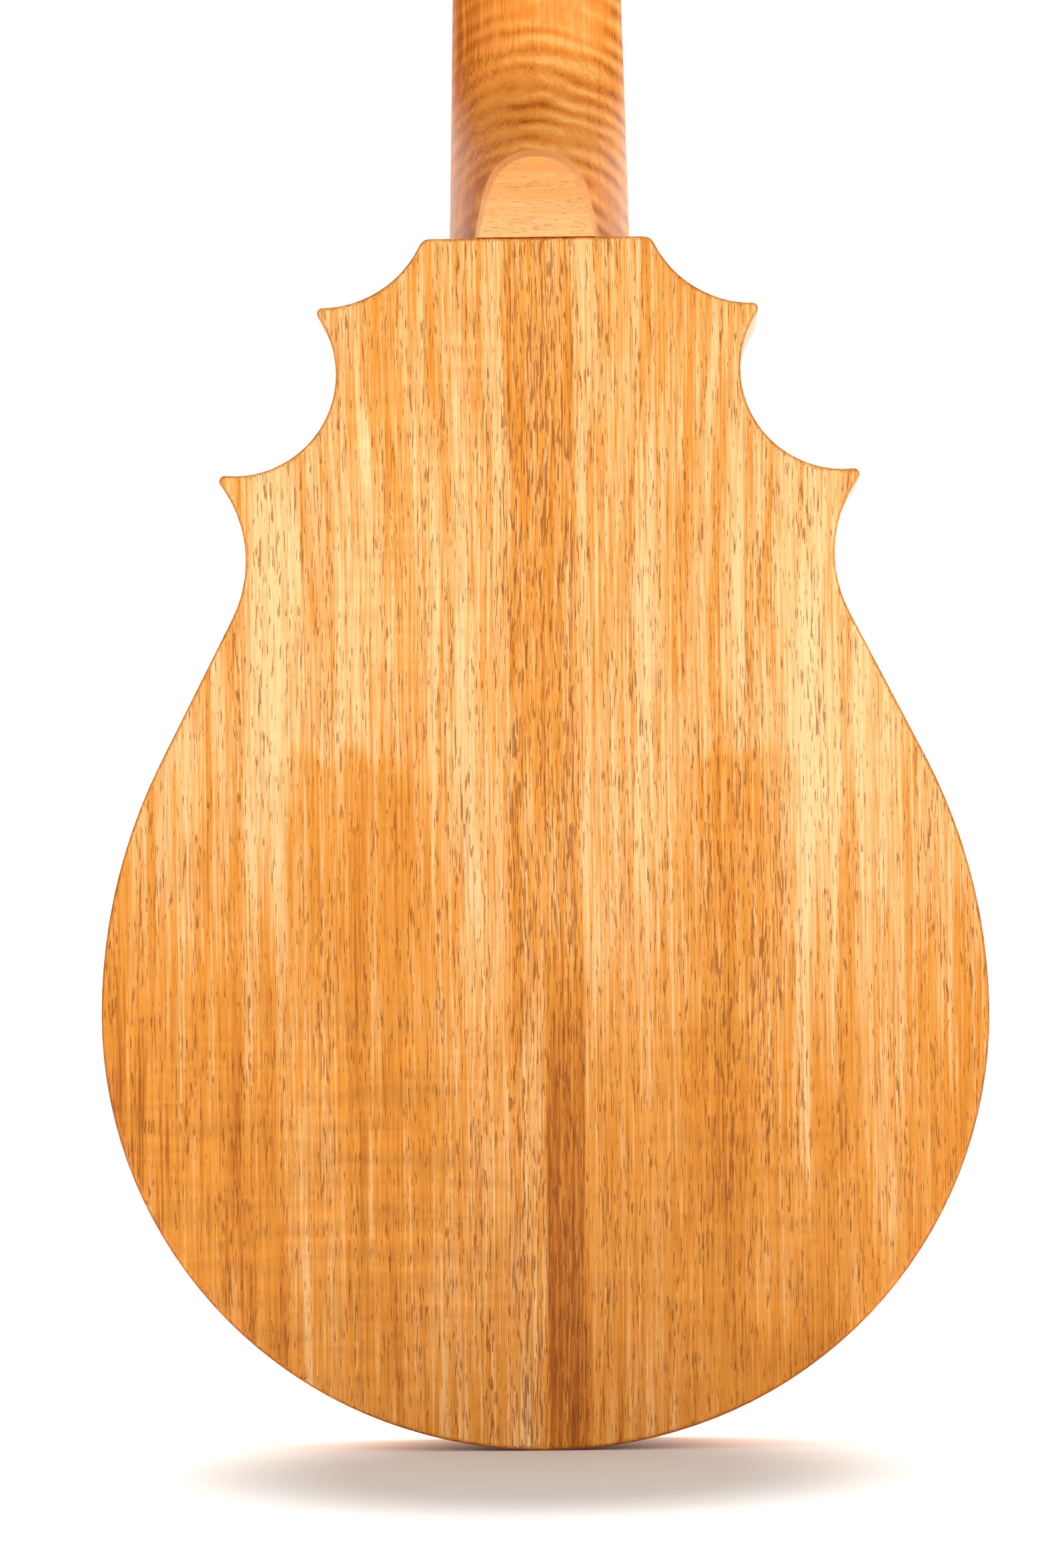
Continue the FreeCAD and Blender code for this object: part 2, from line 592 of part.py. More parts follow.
def head_outline(foot, y0, y1):
    """The headstock's front shape from a height up, its top corners scalloped."""
    horn_z = HEAD_LENGTH - HEAD_HORN_DROP
    start, flare = at(flare_half_width(foot), foot), at(HEAD_FLARE_HALF_WIDTH, HEAD_FLARE_LENGTH)
    between = (foot + HEAD_FLARE_LENGTH) / 2
    horn, top = at(HEAD_HALF_WIDTH, horn_z), at(HEAD_TOP_HALF_WIDTH, HEAD_LENGTH - 2)
    right = [
        Part.Arc(start, at(flare_half_width(between), between), flare).toShape(),
        Part.makeLine(flare, horn),
        arc(centre_through(horn, top, HEAD_SCALLOP_RADIUS), horn, top),
    ]
    crown = Part.Arc(top, at(0, HEAD_LENGTH), at(-top.x, top.z)).toShape()
    across = Part.makeLine(at(-start.x, foot), start)
    return slab_of(right + [crown, across] + [mirrored(e) for e in right], y0, y1)


def neck_shaft():
    """Heel and shaft: one skin drawn through the sections, closed by flat faces."""
    length = SHAFT_OVERRUN + NUT_Z + NUT_THICKNESS + HEAD_CURVE_PAST + SHAFT_INTO_HEAD
    stations = [length * i / NECK_STATIONS - SHAFT_OVERRUN for i in range(NECK_STATIONS + 1)]
    rows = [neck_section(z) for z in stations]
    skin = Part.BSplineSurface()
    skin.interpolate(rows)
    skin = skin.toShape()
    first, final = rows[0], rows[-1]
    ends = []
    for ring in (first, final):
        curve = next(e for e in skin.Edges if lies_at_height(e, ring[0].z))
        ends.append(Part.Face(Part.Wire([curve, Part.makeLine(ring[0], ring[-1])])))
    sides = [e for e in skin.Edges if e.BoundBox.ZLength > NUT_Z / 2]
    lines = [Part.makeLine(ring[0], ring[-1]) for ring in (first, final)]
    front = Part.Face(Part.Wire(Part.__sortEdges__(sides + lines)))
    return Part.makeSolid(Part.makeShell([skin, front] + ends))


def lies_at_height(edge, z):
    near = NECK_THICKNESS / NECK_STATIONS
    return edge.BoundBox.ZLength < near and abs(edge.BoundBox.Center.z - z) < near


def neck_blank():
    """Shaft, heel and headstock, in the body's frame."""
    shaft = placed(neck_shaft(), NECK_FRAME)
    shaft = shaft.cut(box(-FAR, FAR, -FAR, FAR, 0, BODY_LENGTH))
    shaft = shaft.cut(placed(box(-FAR, FAR, 0, FAR, 0, FAR), HEAD_FRAME))
    head = placed(head_outline(HEAD_CURVE_PAST, -HEAD_THICKNESS, 0), HEAD_FRAME)
    return fused([shaft, head])


def fretboard_wedge():
    """It fills the gap that the neck's angle leaves between fretboard and soundboard."""
    near, far = neck_half_width(WEDGE_START), neck_half_width(FRETBOARD_FOOT)
    ring = [Vector(-near, 0, WEDGE_START), Vector(near, 0, WEDGE_START),
            Vector(far, 0, FRETBOARD_FOOT), Vector(-far, 0, FRETBOARD_FOOT)]
    under_board = Part.Face(Part.makePolygon(ring + ring[:1])).extrude(Vector(0, -BODY_DEPTH / 2, 0))
    above_top = box(-FAR, FAR, TOP_FACE, FAR, 0, BODY_LENGTH)
    return placed(under_board, NECK_FRAME).common(above_top)


def neck_bolt_holes():
    return Part.makeCompound([neck_bolt(depth, RUNNING) for depth in NECK_BOLT_DEPTHS])


def neck_bolt(depth, clearance=0.0):
    """A bolt from inside the body into the heel, with its head on the neck block."""
    foot = BODY_LENGTH - RIB_THICKNESS - NECK_BLOCK_LENGTH
    start = Vector(0, TOP_FACE - depth, foot)
    shank = rod(NECK_BOLT_RADIUS + clearance, BODY_LENGTH + NECK_BOLT_REACH - foot, start, Z_AXIS)
    if clearance:
        return shank
    return fused([shank, hexagon(BOLT_HEAD_RADIUS, start, -BOLT_HEAD_HEIGHT)])


def hexagon(radius, centre, height):
    """A six-sided bar up Z from its centre; radius is to its corners."""
    angles = [math.radians(a) for a in range(0, 360, 60)]
    corners = [centre + Vector(math.cos(a), math.sin(a), 0) * radius for a in angles]
    return Part.Face(Part.makePolygon(corners + corners[:1])).extrude(Vector(0, 0, height))


def truss_rod():
    length = NUT_Z + NUT_THICKNESS + TRUSS_NUT_GAP + TRUSS_NUT_LENGTH - TRUSS_ROD_START
    return rod(TRUSS_ROD_RADIUS, length, Vector(0, -TRUSS_ROD_DEPTH, TRUSS_ROD_START), Z_AXIS)


def truss_rod_nut():
    """A hexagonal nut on the rod's end, in the pocket behind the string nut."""
    foot = Vector(0, -TRUSS_ROD_DEPTH, NUT_Z + NUT_THICKNESS + TRUSS_NUT_GAP)
    bore = rod(TRUSS_ROD_RADIUS + RUNNING, TRUSS_NUT_LENGTH, foot, Z_AXIS)
    return hexagon(TRUSS_NUT_RADIUS, foot, TRUSS_NUT_LENGTH).cut(bore)


def truss_pocket():
    """The slot for the rod, and the open pocket that its nut turns in."""
    half = TRUSS_ROD_RADIUS + RUNNING
    slot = box(-half, half, -TRUSS_ROD_DEPTH, 0, TRUSS_ROD_START, NUT_Z + NUT_THICKNESS)
    length = NUT_Z + NUT_THICKNESS - TRUSS_ROD_START
    bed = rod(half, length, Vector(0, -TRUSS_ROD_DEPTH, TRUSS_ROD_START), Z_AXIS)
    wide = TRUSS_NUT_RADIUS + TRUSS_POCKET_ROOM
    start = NUT_Z + NUT_THICKNESS
    end = start + TRUSS_NUT_LENGTH + TRUSS_POCKET_END_ROOM
    pocket = box(-wide, wide, -TRUSS_ROD_DEPTH - wide, FAR, start, end)
    return [slot, bed, pocket]


def make_neck(parts):
    blank = neck_blank()
    heel_end = BODY_LENGTH + HEEL_LENGTH
    behind = box(-FAR, FAR, -FAR, BACK_FACE, 0, heel_end)
    cap_zone = box(-FAR, FAR, BACK_FACE, BACK_FACE + HEEL_CAP_THICKNESS, 0, heel_end)
    parts["heel_cap"] = blank.common(cap_zone)
    neck = blank.cut(behind).cut(cap_zone).cut(neck_bolt_holes())
    for hollow in truss_pocket():
        neck = neck.cut(placed(hollow, NECK_FRAME))
    neck = neck.cut(placed(Part.makeCompound(post_holes()), HEAD_FRAME))
    neck = neck.cut(placed(Part.makeCompound(head_screws()), HEAD_FRAME))
    parts["neck"] = neck
    parts["fretboard_wedge"] = fretboard_wedge()
    parts["neck_bolts"] = Part.makeCompound([neck_bolt(depth) for depth in NECK_BOLT_DEPTHS])
    parts["truss_rod"] = placed(truss_rod(), NECK_FRAME)
    parts["truss_rod_nut"] = placed(truss_rod_nut(), NECK_FRAME)


# ---- fretboard --------------------------------------------------------------------------------
def fret(number):
    """One fret: a domed crown with a tang in the board's slot."""
    half, z = neck_half_width(fret_z(number)), fret_z(number)
    crown_foot = FRETBOARD_THICKNESS
    left = Vector(-half, crown_foot, z - FRET_WIDTH / 2)
    right = Vector(-half, crown_foot, z + FRET_WIDTH / 2)
    dome = Part.Arc(right, Vector(-half, crown_foot + FRET_HEIGHT, z), left).toShape()
    crown = Part.Face(Part.Wire([dome, Part.makeLine(left, right)])).extrude(Vector(2 * half, 0, 0))
    return fused([crown, fret_tang(number, 0)])


def fret_tang(number, clearance):
    half, z = neck_half_width(fret_z(number)), fret_z(number)
    thick = FRET_TANG_WIDTH / 2 + clearance
    return box(-half, half, FRETBOARD_THICKNESS - FRET_TANG_DEPTH - clearance, FRETBOARD_THICKNESS,
               z - thick, z + thick)


def marker_places():
    """Where the round markers go: between frets, and a pair at the octave."""
    places = []
    for number in MARKER_FRETS:
        z = (fret_z(number) + fret_z(number - 1)) / 2
        pair = (-MARKER_PAIR_X, MARKER_PAIR_X)
        places += [(x, z) for x in (pair if number == SEMITONES else (0.0,))]
    return places


def make_fretboard(parts):
    ends = [(neck_half_width(NUT_Z), NUT_Z), (neck_half_width(FRETBOARD_FOOT), FRETBOARD_FOOT)]
    (nut_half, top), (foot_half, foot) = ends
    ring = [Vector(-nut_half, 0, top), Vector(nut_half, 0, top), Vector(foot_half, 0, foot),
            Vector(-foot_half, 0, foot)]
    board = Part.Face(Part.makePolygon(ring + ring[:1])).extrude(Vector(0, FRETBOARD_THICKNESS, 0))
    dots = [
        rod(MARKER_RADIUS, MARKER_DEPTH, Vector(x, FRETBOARD_THICKNESS - MARKER_DEPTH, z), Y_AXIS)
        for x, z in marker_places()
    ]
    middle = FRETBOARD_THICKNESS / 2
    for number in MARKER_FRETS:
        z = (fret_z(number) + fret_z(number - 1)) / 2
        start = Vector(neck_half_width(z) - SIDE_MARKER_DEPTH, middle, z)
        edge = rod(SIDE_MARKER_RADIUS, 2 * SIDE_MARKER_DEPTH, start, X_AXIS)
        dots.append(edge.common(board))
    numbers = range(1, FRET_COUNT + 1)
    slots = Part.makeCompound([fret_tang(n, TANG_FIT) for n in numbers])
    parts["fretboard"] = placed(board.cut(slots).cut(Part.makeCompound(dots)), NECK_FRAME)
    parts["frets"] = placed(Part.makeCompound([fret(n) for n in numbers]), NECK_FRAME)
    parts["fret_markers"] = placed(Part.makeCompound(dots), NECK_FRAME)


# ---- strings ------------------------------------------------------------------------------------
def string_list():
    """Each string as (radius, x at the nut, x at the bridge, side, post number)."""
    found = []
    for course, radius in enumerate(STRING_RADII):
        place = (len(STRING_RADII) - 1) / 2 - course
        for half in (0.5, -0.5):
            nut_x = place * NUT_COURSE_SPACING + half * NUT_PAIR_GAP
            bridge_x = place * BRIDGE_COURSE_SPACING + half * BRIDGE_PAIR_GAP
            side = RIGHT if nut_x > 0 else LEFT
            found.append([radius, nut_x, bridge_x, side])
    for side in (LEFT, RIGHT):
        row = sorted((s for s in found if s[3] == side), key=lambda s: -abs(s[1]))
        for number, string in enumerate(row):
            string.append(number)
    return found


def string_points(radius, nut_x, bridge_x, side, number):
    """The string's centre line, from its tailpiece hook over bridge and nut to its post."""
    fret_plane = FRETBOARD_THICKNESS + FRET_HEIGHT
    bridge = NECK_FRAME.multVec(
        Vector(bridge_x, fret_plane + STRING_AT_BRIDGE + radius, NUT_Z - SCALE_LENGTH))
    nut = NECK_FRAME.multVec(
        Vector(nut_x, fret_plane + STRING_OVER_FIRST_FRET + radius, NUT_Z + NUT_THICKNESS / 2))
    beside_coil = POST_X - POST_RADIUS - 3 * radius - 2 * GROOVE
    post = HEAD_FRAME.multVec(Vector(side * beside_coil, WINDING_START + radius, POST_Z[number]))
    deck = TOP_FACE + TAIL_DECK_HEIGHT + TAIL_PLATE_THICKNESS
    hook = Vector(hook_x(bridge_x), deck + HOOK_HEIGHT / 2, hook_z(nut_x))
    return [hook + Vector(0, 0, loop_radius(radius)), bridge, nut, post]


def loop_radius(radius):
    return HOOK_RADIUS + GROOVE + radius


def hook_x(bridge_x):
    return bridge_x * HOOK_SPREAD


def hook_z(nut_x):
    """The two hooks of a course stand one behind the other."""
    inner = abs(nut_x) % NUT_COURSE_SPACING < NUT_COURSE_SPACING / 2
    return HOOK_Z if inner else HOOK_Z - HOOK_STAGGER


def string(spec, clearance=0.0):
    points = string_points(*spec)
    radius = spec[0] + clearance
    runs = [rod(radius, (b - a).Length, a, b - a) for a, b in zip(points, points[1:])]
    bends = [Part.makeSphere(radius, p) for p in points[1:-1]]
    hook = points[0] - Vector(0, 0, loop_radius(spec[0]))
    loop = Part.makeTorus(loop_radius(spec[0]), radius, hook, Y_AXIS)
    return fused(runs + bends + [loop])


def all_strings(clearance=0.0):
    return [string(spec, clearance) for spec in string_list()]


def make_strings(parts):
    made = {"strings_wound": [], "strings_plain": []}
    for spec in string_list():
        made["strings_wound" if spec[0] > PLAIN_RADIUS else "strings_plain"].append(string(spec))
    for name, solids in made.items():
        parts[name] = Part.makeCompound(solids)


def make_nut(parts):
    height = FRETBOARD_THICKNESS + FRET_HEIGHT + STRING_OVER_FIRST_FRET + NUT_CROWN
    half = NUT_WIDTH / 2
    blank = box(-half, half, 0, height + STRING_RADII[0], NUT_Z, NUT_Z + NUT_THICKNESS)
    top_back = [e for e in blank.Edges if all(v.Y > height and v.Z > NUT_Z + 1 for v in e.Vertexes)]
    blank = placed(blank.makeFillet(NUT_ROUNDING, top_back), NECK_FRAME)
    parts["nut"] = blank.cut(Part.makeCompound(all_strings(GROOVE)))


# ---- headstock ------------------------------------------------------------------------------------
def post_places():
    return [(side, side * POST_X, z) for side in (LEFT, RIGHT) for z in POST_Z]


def post_holes():
    """Bores through the headstock's wood and plate that the bushings are pressed into."""
    through = HEAD_THICKNESS + HEADPLATE_THICKNESS
    return [
        rod(BUSHING_RADIUS, through, Vector(x, -HEAD_THICKNESS, z), Y_AXIS)
        for _, x, z in post_places()
    ]


def wood_screw(x, z, y, direction):
    """A round-head screw whose head sits at y and whose shank runs along direction."""
    way = Vector(0, direction, 0)
    start = Vector(x, y, z)
    shank = rod(SCREW_RADIUS, SCREW_LENGTH, start, way)
    ball = SCREW_HEAD_RADIUS * SCREW_DOME
    centre = start + way * math.sqrt(ball ** 2 - SCREW_HEAD_RADIUS ** 2)
    dome = Part.makeSphere(ball, centre)
    outside = rod(SCREW_HEAD_RADIUS, SCREW_LENGTH, start - way * SCREW_LENGTH, way)
    return fused([shank, dome.common(outside)])


def plate_screw_places():
    foot, top = TUNER_PLATE_Z
    places = [z + PLATE_SCREW_PAST_POST for z in POST_Z[:-1]]
    places += [foot + PLATE_SCREW_INSET, top - PLATE_SCREW_INSET]
    x = TUNER_PLATE_INNER_X + PLATE_SCREW_INSET
    return [(side * x, z) for side in (LEFT, RIGHT) for z in places]


def cover_screw_places():
    low_pair = [(side * COVER_SCREW_X, COVER_SCREW_INSET) for side in (LEFT, RIGHT)]
    return [(0.0, COVER_LENGTH - COVER_SCREW_INSET)] + low_pair


def head_screws():
    rear = -HEAD_THICKNESS - TUNER_PLATE_THICKNESS
    front = HEADPLATE_THICKNESS + COVER_THICKNESS
    screws = [wood_screw(x, z, rear, 1) for x, z in plate_screw_places()]
    return screws + [wood_screw(x, z, front, -1) for x, z in cover_screw_places()]


def bushing(x, z):
    """A pressed-in collar that carries the post where it leaves the headstock's face."""
    face = HEADPLATE_THICKNESS
    body = rod(BUSHING_RADIUS, BUSHING_LENGTH, Vector(x, face - BUSHING_LENGTH, z), Y_AXIS)
    flange = rod(BUSHING_FLANGE_RADIUS, BUSHING_FLANGE_HEIGHT, Vector(x, face, z), Y_AXIS)
    rim = [e for e in flange.Edges if e.BoundBox.YMin > face + BUSHING_FLANGE_HEIGHT - TINY]
    flange = flange.makeFillet(BUSHING_FLANGE_HEIGHT / 2, rim)
    bore = rod(POST_RADIUS + RUNNING, 2 * FAR, Vector(x, -FAR, z), Y_AXIS)
    return fused([body, flange]).cut(bore)


def truss_cover():
    """A bell-shaped plate over the truss rod's pocket."""
    length = COVER_LENGTH
    foot_corner, mouth = at(COVER_HALF_WIDTH - 1, COVER_START), at(COVER_HALF_WIDTH, COVER_START + 6)
    waist_foot, waist, crown = at(4.2, 18), at(3.3, 23), at(3.4, length - 3)
    right = [
        Part.makeLine(at(0, COVER_START), foot_corner),
        Part.Arc(foot_corner, mouth, waist_foot).toShape(),
        Part.Arc(waist_foot, waist, crown).toShape(),
        Part.Arc(crown, at(2.4, length - 0.8), at(0, length)).toShape(),
    ]
    face = HEADPLATE_THICKNESS
    return slab_of(right + [mirrored(e) for e in right], face, face + COVER_THICKNESS)


def tuner_plate():
    """The right-hand base plate, with two folded ears to each worm."""
    rear = -HEAD_THICKNESS - TUNER_PLATE_THICKNESS
    plate = box(TUNER_PLATE_INNER_X, TUNER_PLATE_OUTER_X, rear, -HEAD_THICKNESS, *TUNER_PLATE_Z)
    corners = [e for e in plate.Edges if abs(e.BoundBox.YLength - TUNER_PLATE_THICKNESS) < TINY]
    plate = plate.makeFillet(TUNER_PLATE_ROUNDING, corners)
    ears, bores = [], []
    axis_y = -HEAD_THICKNESS - WORM_HEIGHT
    for z in POST_Z:
        worm_z = z - WORM_TO_POST
        for x in (TUNER_PLATE_INNER_X + BRACKET_INSET,
                  TUNER_PLATE_OUTER_X - BRACKET_THICKNESS - BRACKET_OUTER_INSET):
            ear = box(x, x + BRACKET_THICKNESS, axis_y - BRACKET_HALF_WIDTH, -HEAD_THICKNESS,
                      worm_z - BRACKET_HALF_WIDTH, worm_z + BRACKET_HALF_WIDTH)
            ends = [e for e in ear.Edges if e.BoundBox.XLength > BRACKET_THICKNESS - TINY
                    and e.BoundBox.YMax < axis_y]
            ears.append(ear.makeFillet(BRACKET_ROUNDING, ends))
        across = Vector(TUNER_PLATE_INNER_X, axis_y, worm_z)
        bores.append(rod(SHAFT_RADIUS + RUNNING, TUNER_PLATE_OUTER_X - across.x, across, X_AXIS))
        bores.append(rod(POST_RADIUS + RUNNING, TUNER_PLATE_THICKNESS, Vector(POST_X, rear, z), Y_AXIS))
    return fused([plate] + ears).cut(Part.makeCompound(bores))


def make_headstock(parts):
    to_head = HEAD_FRAME.inverse() * NECK_FRAME
    pocket = Part.makeCompound([placed(h, to_head) for h in truss_pocket()[2:]])
    holes = Part.makeCompound(post_holes())
    screws = Part.makeCompound(head_screws())
    plate = head_outline(0.0, 0, HEADPLATE_THICKNESS)
    edge = [e for e in plate.Edges if e.BoundBox.YMin > HEADPLATE_THICKNESS - TINY
            and e.BoundBox.ZMax > TINY]
    plate = plate.makeChamfer(HEADPLATE_CHAMFER, edge)
    plate = plate.cut(holes).cut(screws).cut(pocket)
    square_nut = placed(box(-FAR, FAR, -FAR, FAR, 0, NUT_Z + NUT_THICKNESS), NECK_FRAME)
    parts["headplate"] = placed(plate, HEAD_FRAME).cut(square_nut)
    right = tuner_plate()
    plates = [right.cut(screws), mirrored(right).cut(screws)]
    parts["tuner_plates"] = placed(Part.makeCompound(plates), HEAD_FRAME)
    parts["truss_rod_cover"] = placed(truss_cover().cut(screws), HEAD_FRAME).cut(square_nut)
    parts["headstock_screws"] = placed(screws, HEAD_FRAME)
    parts["post_bushings"] = placed(
        Part.makeCompound([bushing(x, z) for _, x, z in post_places()]), HEAD_FRAME)


# ---- tuning machines -----------------------------------------------------------------------------
def gear():
    """A wheel about +Y at the origin, with one tooth pointing down towards its worm."""
    half_root, half_tip = GEAR_ROOT_WIDTH / 2, GEAR_TIP_WIDTH / 2
    wheel = rod(GEAR_ROOT_RADIUS, GEAR_WIDTH, Vector(0, -GEAR_WIDTH / 2, 0), Y_AXIS)
    sunk = GEAR_ROOT_RADIUS - GEAR_ROOT_WIDTH / 2
    right = [at(half_root, -sunk), at(half_root, -GEAR_ROOT_RADIUS), at(half_tip, -GEAR_TIP_RADIUS)]
    ring = right + [at(-p.x, p.z) for p in reversed(right)]
    edges = [Part.makeLine(a, b) for a, b in zip(ring, ring[1:] + ring[:1])]
    tooth = slab_of(edges, -GEAR_WIDTH / 2, GEAR_WIDTH / 2)
    teeth = []
    for number in range(GEAR_TEETH):
        turned = tooth.copy()
        turned.rotate(Vector(0, 0, 0), Y_AXIS, 360.0 * number / GEAR_TEETH)
        teeth.append(turned)
    return fused([wheel] + teeth)


def tuner_post(x, z, string_radius):
    """Post and gear, the screw that holds them together, and the string wound on the post."""
    axis_y = -HEAD_THICKNESS - WORM_HEIGHT
    rear = axis_y - GEAR_WIDTH / 2
    post = rod(POST_RADIUS, POST_TOP - rear - GEAR_WIDTH, Vector(x, rear + GEAR_WIDTH, z), Y_AXIS)
    crown = [e for e in post.Edges if e.BoundBox.YMin > POST_TOP - TINY]
    post = post.makeFillet(POST_CROWN_ROUNDING, crown)
    coil_end = WINDING_START + WINDING_TURNS * 2 * string_radius
    hole_start = Vector(x, coil_end + 2 * POST_HOLE_RADIUS, z - POST_RADIUS)
    hole = rod(POST_HOLE_RADIUS, 2 * POST_RADIUS, hole_start, Z_AXIS)
    wheel = gear()
    wheel.translate(Vector(x, axis_y, z))
    screw_hole = rod(GEAR_SCREW_RADIUS, GEAR_SCREW_LENGTH, Vector(x, rear, z), Y_AXIS)
    head_end = rear - GEAR_SCREW_HEAD_HEIGHT
    head = rod(GEAR_SCREW_HEAD_RADIUS, GEAR_SCREW_HEAD_HEIGHT, Vector(x, head_end, z), Y_AXIS)
    slot = box(x - GEAR_SCREW_HEAD_RADIUS, x + GEAR_SCREW_HEAD_RADIUS, head_end, head_end + SLOT_DEPTH,
               z - SLOT_WIDTH / 2, z + SLOT_WIDTH / 2)
    screw = fused([head, screw_hole]).cut(slot)
    coils = []
    for turn in range(WINDING_TURNS):
        y = WINDING_START + string_radius * (1 + 2 * turn)
        middle = Vector(x, y, z)
        coils.append(Part.makeTorus(POST_RADIUS + string_radius, string_radius - COIL_GAP, middle, Y_AXIS))
    return Part.makeCompound([post.cut(hole).cut(screw_hole), wheel.cut(screw_hole), screw] + coils)


def worm_thread():
    """A right-handed thread up +Z, centred on the origin and facing +X at its middle gap."""
    height = WORM_PITCH * WORM_TURNS
    sunk = WORM_CORE_RADIUS - THREAD_SUNK
    helix = Part.Wire(Part.makeHelix(WORM_PITCH, height, WORM_CORE_RADIUS).Edges)
    root = WORM_ROOT / 2
    ring = [Vector(sunk, 0, -root), Vector(WORM_RADIUS, 0, -WORM_CREST / 2),
            Vector(WORM_RADIUS, 0, WORM_CREST / 2), Vector(sunk, 0, root)]
    thread = helix.makePipeShell([Part.makePolygon(ring + ring[:1])], True, True)
    thread.translate(Vector(0, 0, -height / 2))
    return thread


def tuner_button(side, x, z):
    """Worm and shaft in one, the collar, and the button that turns them."""
    axis_y, worm_z = -HEAD_THICKNESS - WORM_HEIGHT, z - WORM_TO_POST
    centre = Vector(x, axis_y, worm_z)
    out = Vector(side, 0, 0)
    core_half = WORM_PITCH * WORM_TURNS / 2 + WORM_END
    core = rod(WORM_CORE_RADIUS, 2 * core_half, Vector(0, 0, -core_half), Z_AXIS)
    inner_end = POST_X - TUNER_PLATE_INNER_X - SLIDING
    outer_end = BUTTON_START_X + SHAFT_INTO_BUTTON - POST_X
    shaft = rod(SHAFT_RADIUS, inner_end + outer_end, Vector(0, 0, -inner_end), Z_AXIS)
    worm = fused([core, worm_thread(), shaft])
    worm = placed(worm, Placement(centre, Rotation(Z_AXIS, out.cross(Z_AXIS), out, "ZXY")))
    start = Vector(side * BUTTON_START_X, axis_y, worm_z)
    oval = Part.Ellipse(Vector(0, 0, 0), BUTTON_HALF_LENGTH, BUTTON_HALF_HEIGHT).toShape()
    disc = Part.Face(Part.Wire([oval])).extrude(Vector(0, 0, BUTTON_THICKNESS))
    disc = disc.makeFillet(BUTTON_ROUNDING, [e for e in disc.Edges if len(e.Vertexes) == 1])
    disc.translate(Vector(0, 0, -BUTTON_THICKNESS / 2))
    disc.rotate(Vector(0, 0, 0), X_AXIS, 90)
    disc.translate(start + out * (BUTTON_HALF_LENGTH - BUTTON_OVER_COLLAR))
    collar = rod(BUTTON_COLLAR_RADIUS, BUTTON_COLLAR_LENGTH, start - out * BUTTON_COLLAR_LENGTH, out)
    shaft_space = rod(SHAFT_RADIUS, outer_end, centre, out)
    return Part.makeCompound([worm, disc.cut(shaft_space).cut(collar), collar.cut(shaft_space)])


def tuner_name(side, number):
    """Tuners are numbered from the nut up, each side of the headstock."""
    return f"tuner_{'right' if side == RIGHT else 'left'}_{number + 1}"


def make_tuners(parts):
    radii = {(spec[3], spec[4]): spec[0] for spec in string_list()}
    for side in (LEFT, RIGHT):
        for number, z in enumerate(POST_Z):
            name = tuner_name(side, number)
            post = tuner_post(side * POST_X, z, radii[side, number])
            parts[f"{name}_post"] = placed(post, HEAD_FRAME)
            parts[f"{name}_button"] = placed(tuner_button(side, side * POST_X, z), HEAD_FRAME)


# ---- bridge ------------------------------------------------------------------------------------------
BRIDGE_PLACE = NECK_FRAME.multVec(
    Vector(0, FRETBOARD_THICKNESS + FRET_HEIGHT + STRING_AT_BRIDGE, NUT_Z - SCALE_LENGTH))
FOOT_TOP = TOP_FACE + BRIDGE_FOOT_HEIGHT
WHEEL_FOOT = FOOT_TOP + WHEEL_LIFT
SADDLE_FOOT = WHEEL_FOOT + WHEEL_THICKNESS


def bridge_foot():
    """A two-footed base: low at its ends, full height under the studs, open in the middle."""
    half, z = BRIDGE_HALF_LENGTH, BRIDGE_PLACE.z
    flat = STUD_X + BRIDGE_FLAT_PAST_STUD
    right = [(half, 0), (half, BRIDGE_END_HEIGHT), (flat, BRIDGE_FOOT_HEIGHT)]
    ring = right + [(-x, y) for x, y in reversed(right)]
    points = [Vector(x, TOP_FACE + y, z - BRIDGE_WIDTH / 2) for x, y in ring]
    foot = Part.Face(Part.makePolygon(points + points[:1])).extrude(Vector(0, 0, BRIDGE_WIDTH))
    arch_centre = TOP_FACE + BRIDGE_ARCH_RISE - BRIDGE_ARCH_RADIUS
    start = Vector(0, arch_centre, z - BRIDGE_WIDTH / 2)
    foot = foot.cut(rod(BRIDGE_ARCH_RADIUS, BRIDGE_WIDTH, start, Z_AXIS))
    high = [e for e in foot.Edges if e.BoundBox.YMin > TOP_FACE + BRIDGE_END_HEIGHT - TINY]
    lengthways = [e for e in high if e.BoundBox.XLength > TINY]
    return foot.makeFillet(BRIDGE_ROUNDING, lengthways)


def saddle():
    """The bridge's upper bar, narrow at its crown, with a bore over each stud."""
    half, z, top = SADDLE_HALF_LENGTH, BRIDGE_PLACE.z, BRIDGE_PLACE.y + SADDLE_CROWN
    knee = SADDLE_FOOT + (top - SADDLE_FOOT) * SADDLE_KNEE
    wide, narrow = SADDLE_BASE_WIDTH / 2, SADDLE_CROWN_WIDTH / 2
    upward = [(SADDLE_FOOT, wide), (knee, wide), (top, narrow)]
    ring = upward + [(y, -w) for y, w in reversed(upward)]
    points = [Vector(-half, y, z + w) for y, w in ring]
    bar = Part.Face(Part.makePolygon(points + points[:1])).extrude(Vector(2 * half, 0, 0))
    high = [e for e in bar.Edges if e.BoundBox.YMin > knee - TINY]
    lengthways = [e for e in high if e.BoundBox.XLength > half]
    bar = bar.makeFillet(SADDLE_ROUNDING, lengthways)
    bore_depth = STUD_REACH - (SADDLE_FOOT - FOOT_TOP) + WHEEL_LIFT + SLIDING
    for x in (-STUD_X, STUD_X):
        bar = bar.cut(rod(STUD_RADIUS + RUNNING, bore_depth, Vector(x, SADDLE_FOOT, z), Y_AXIS))
    return bar.cut(Part.makeCompound(all_strings(GROOVE)))


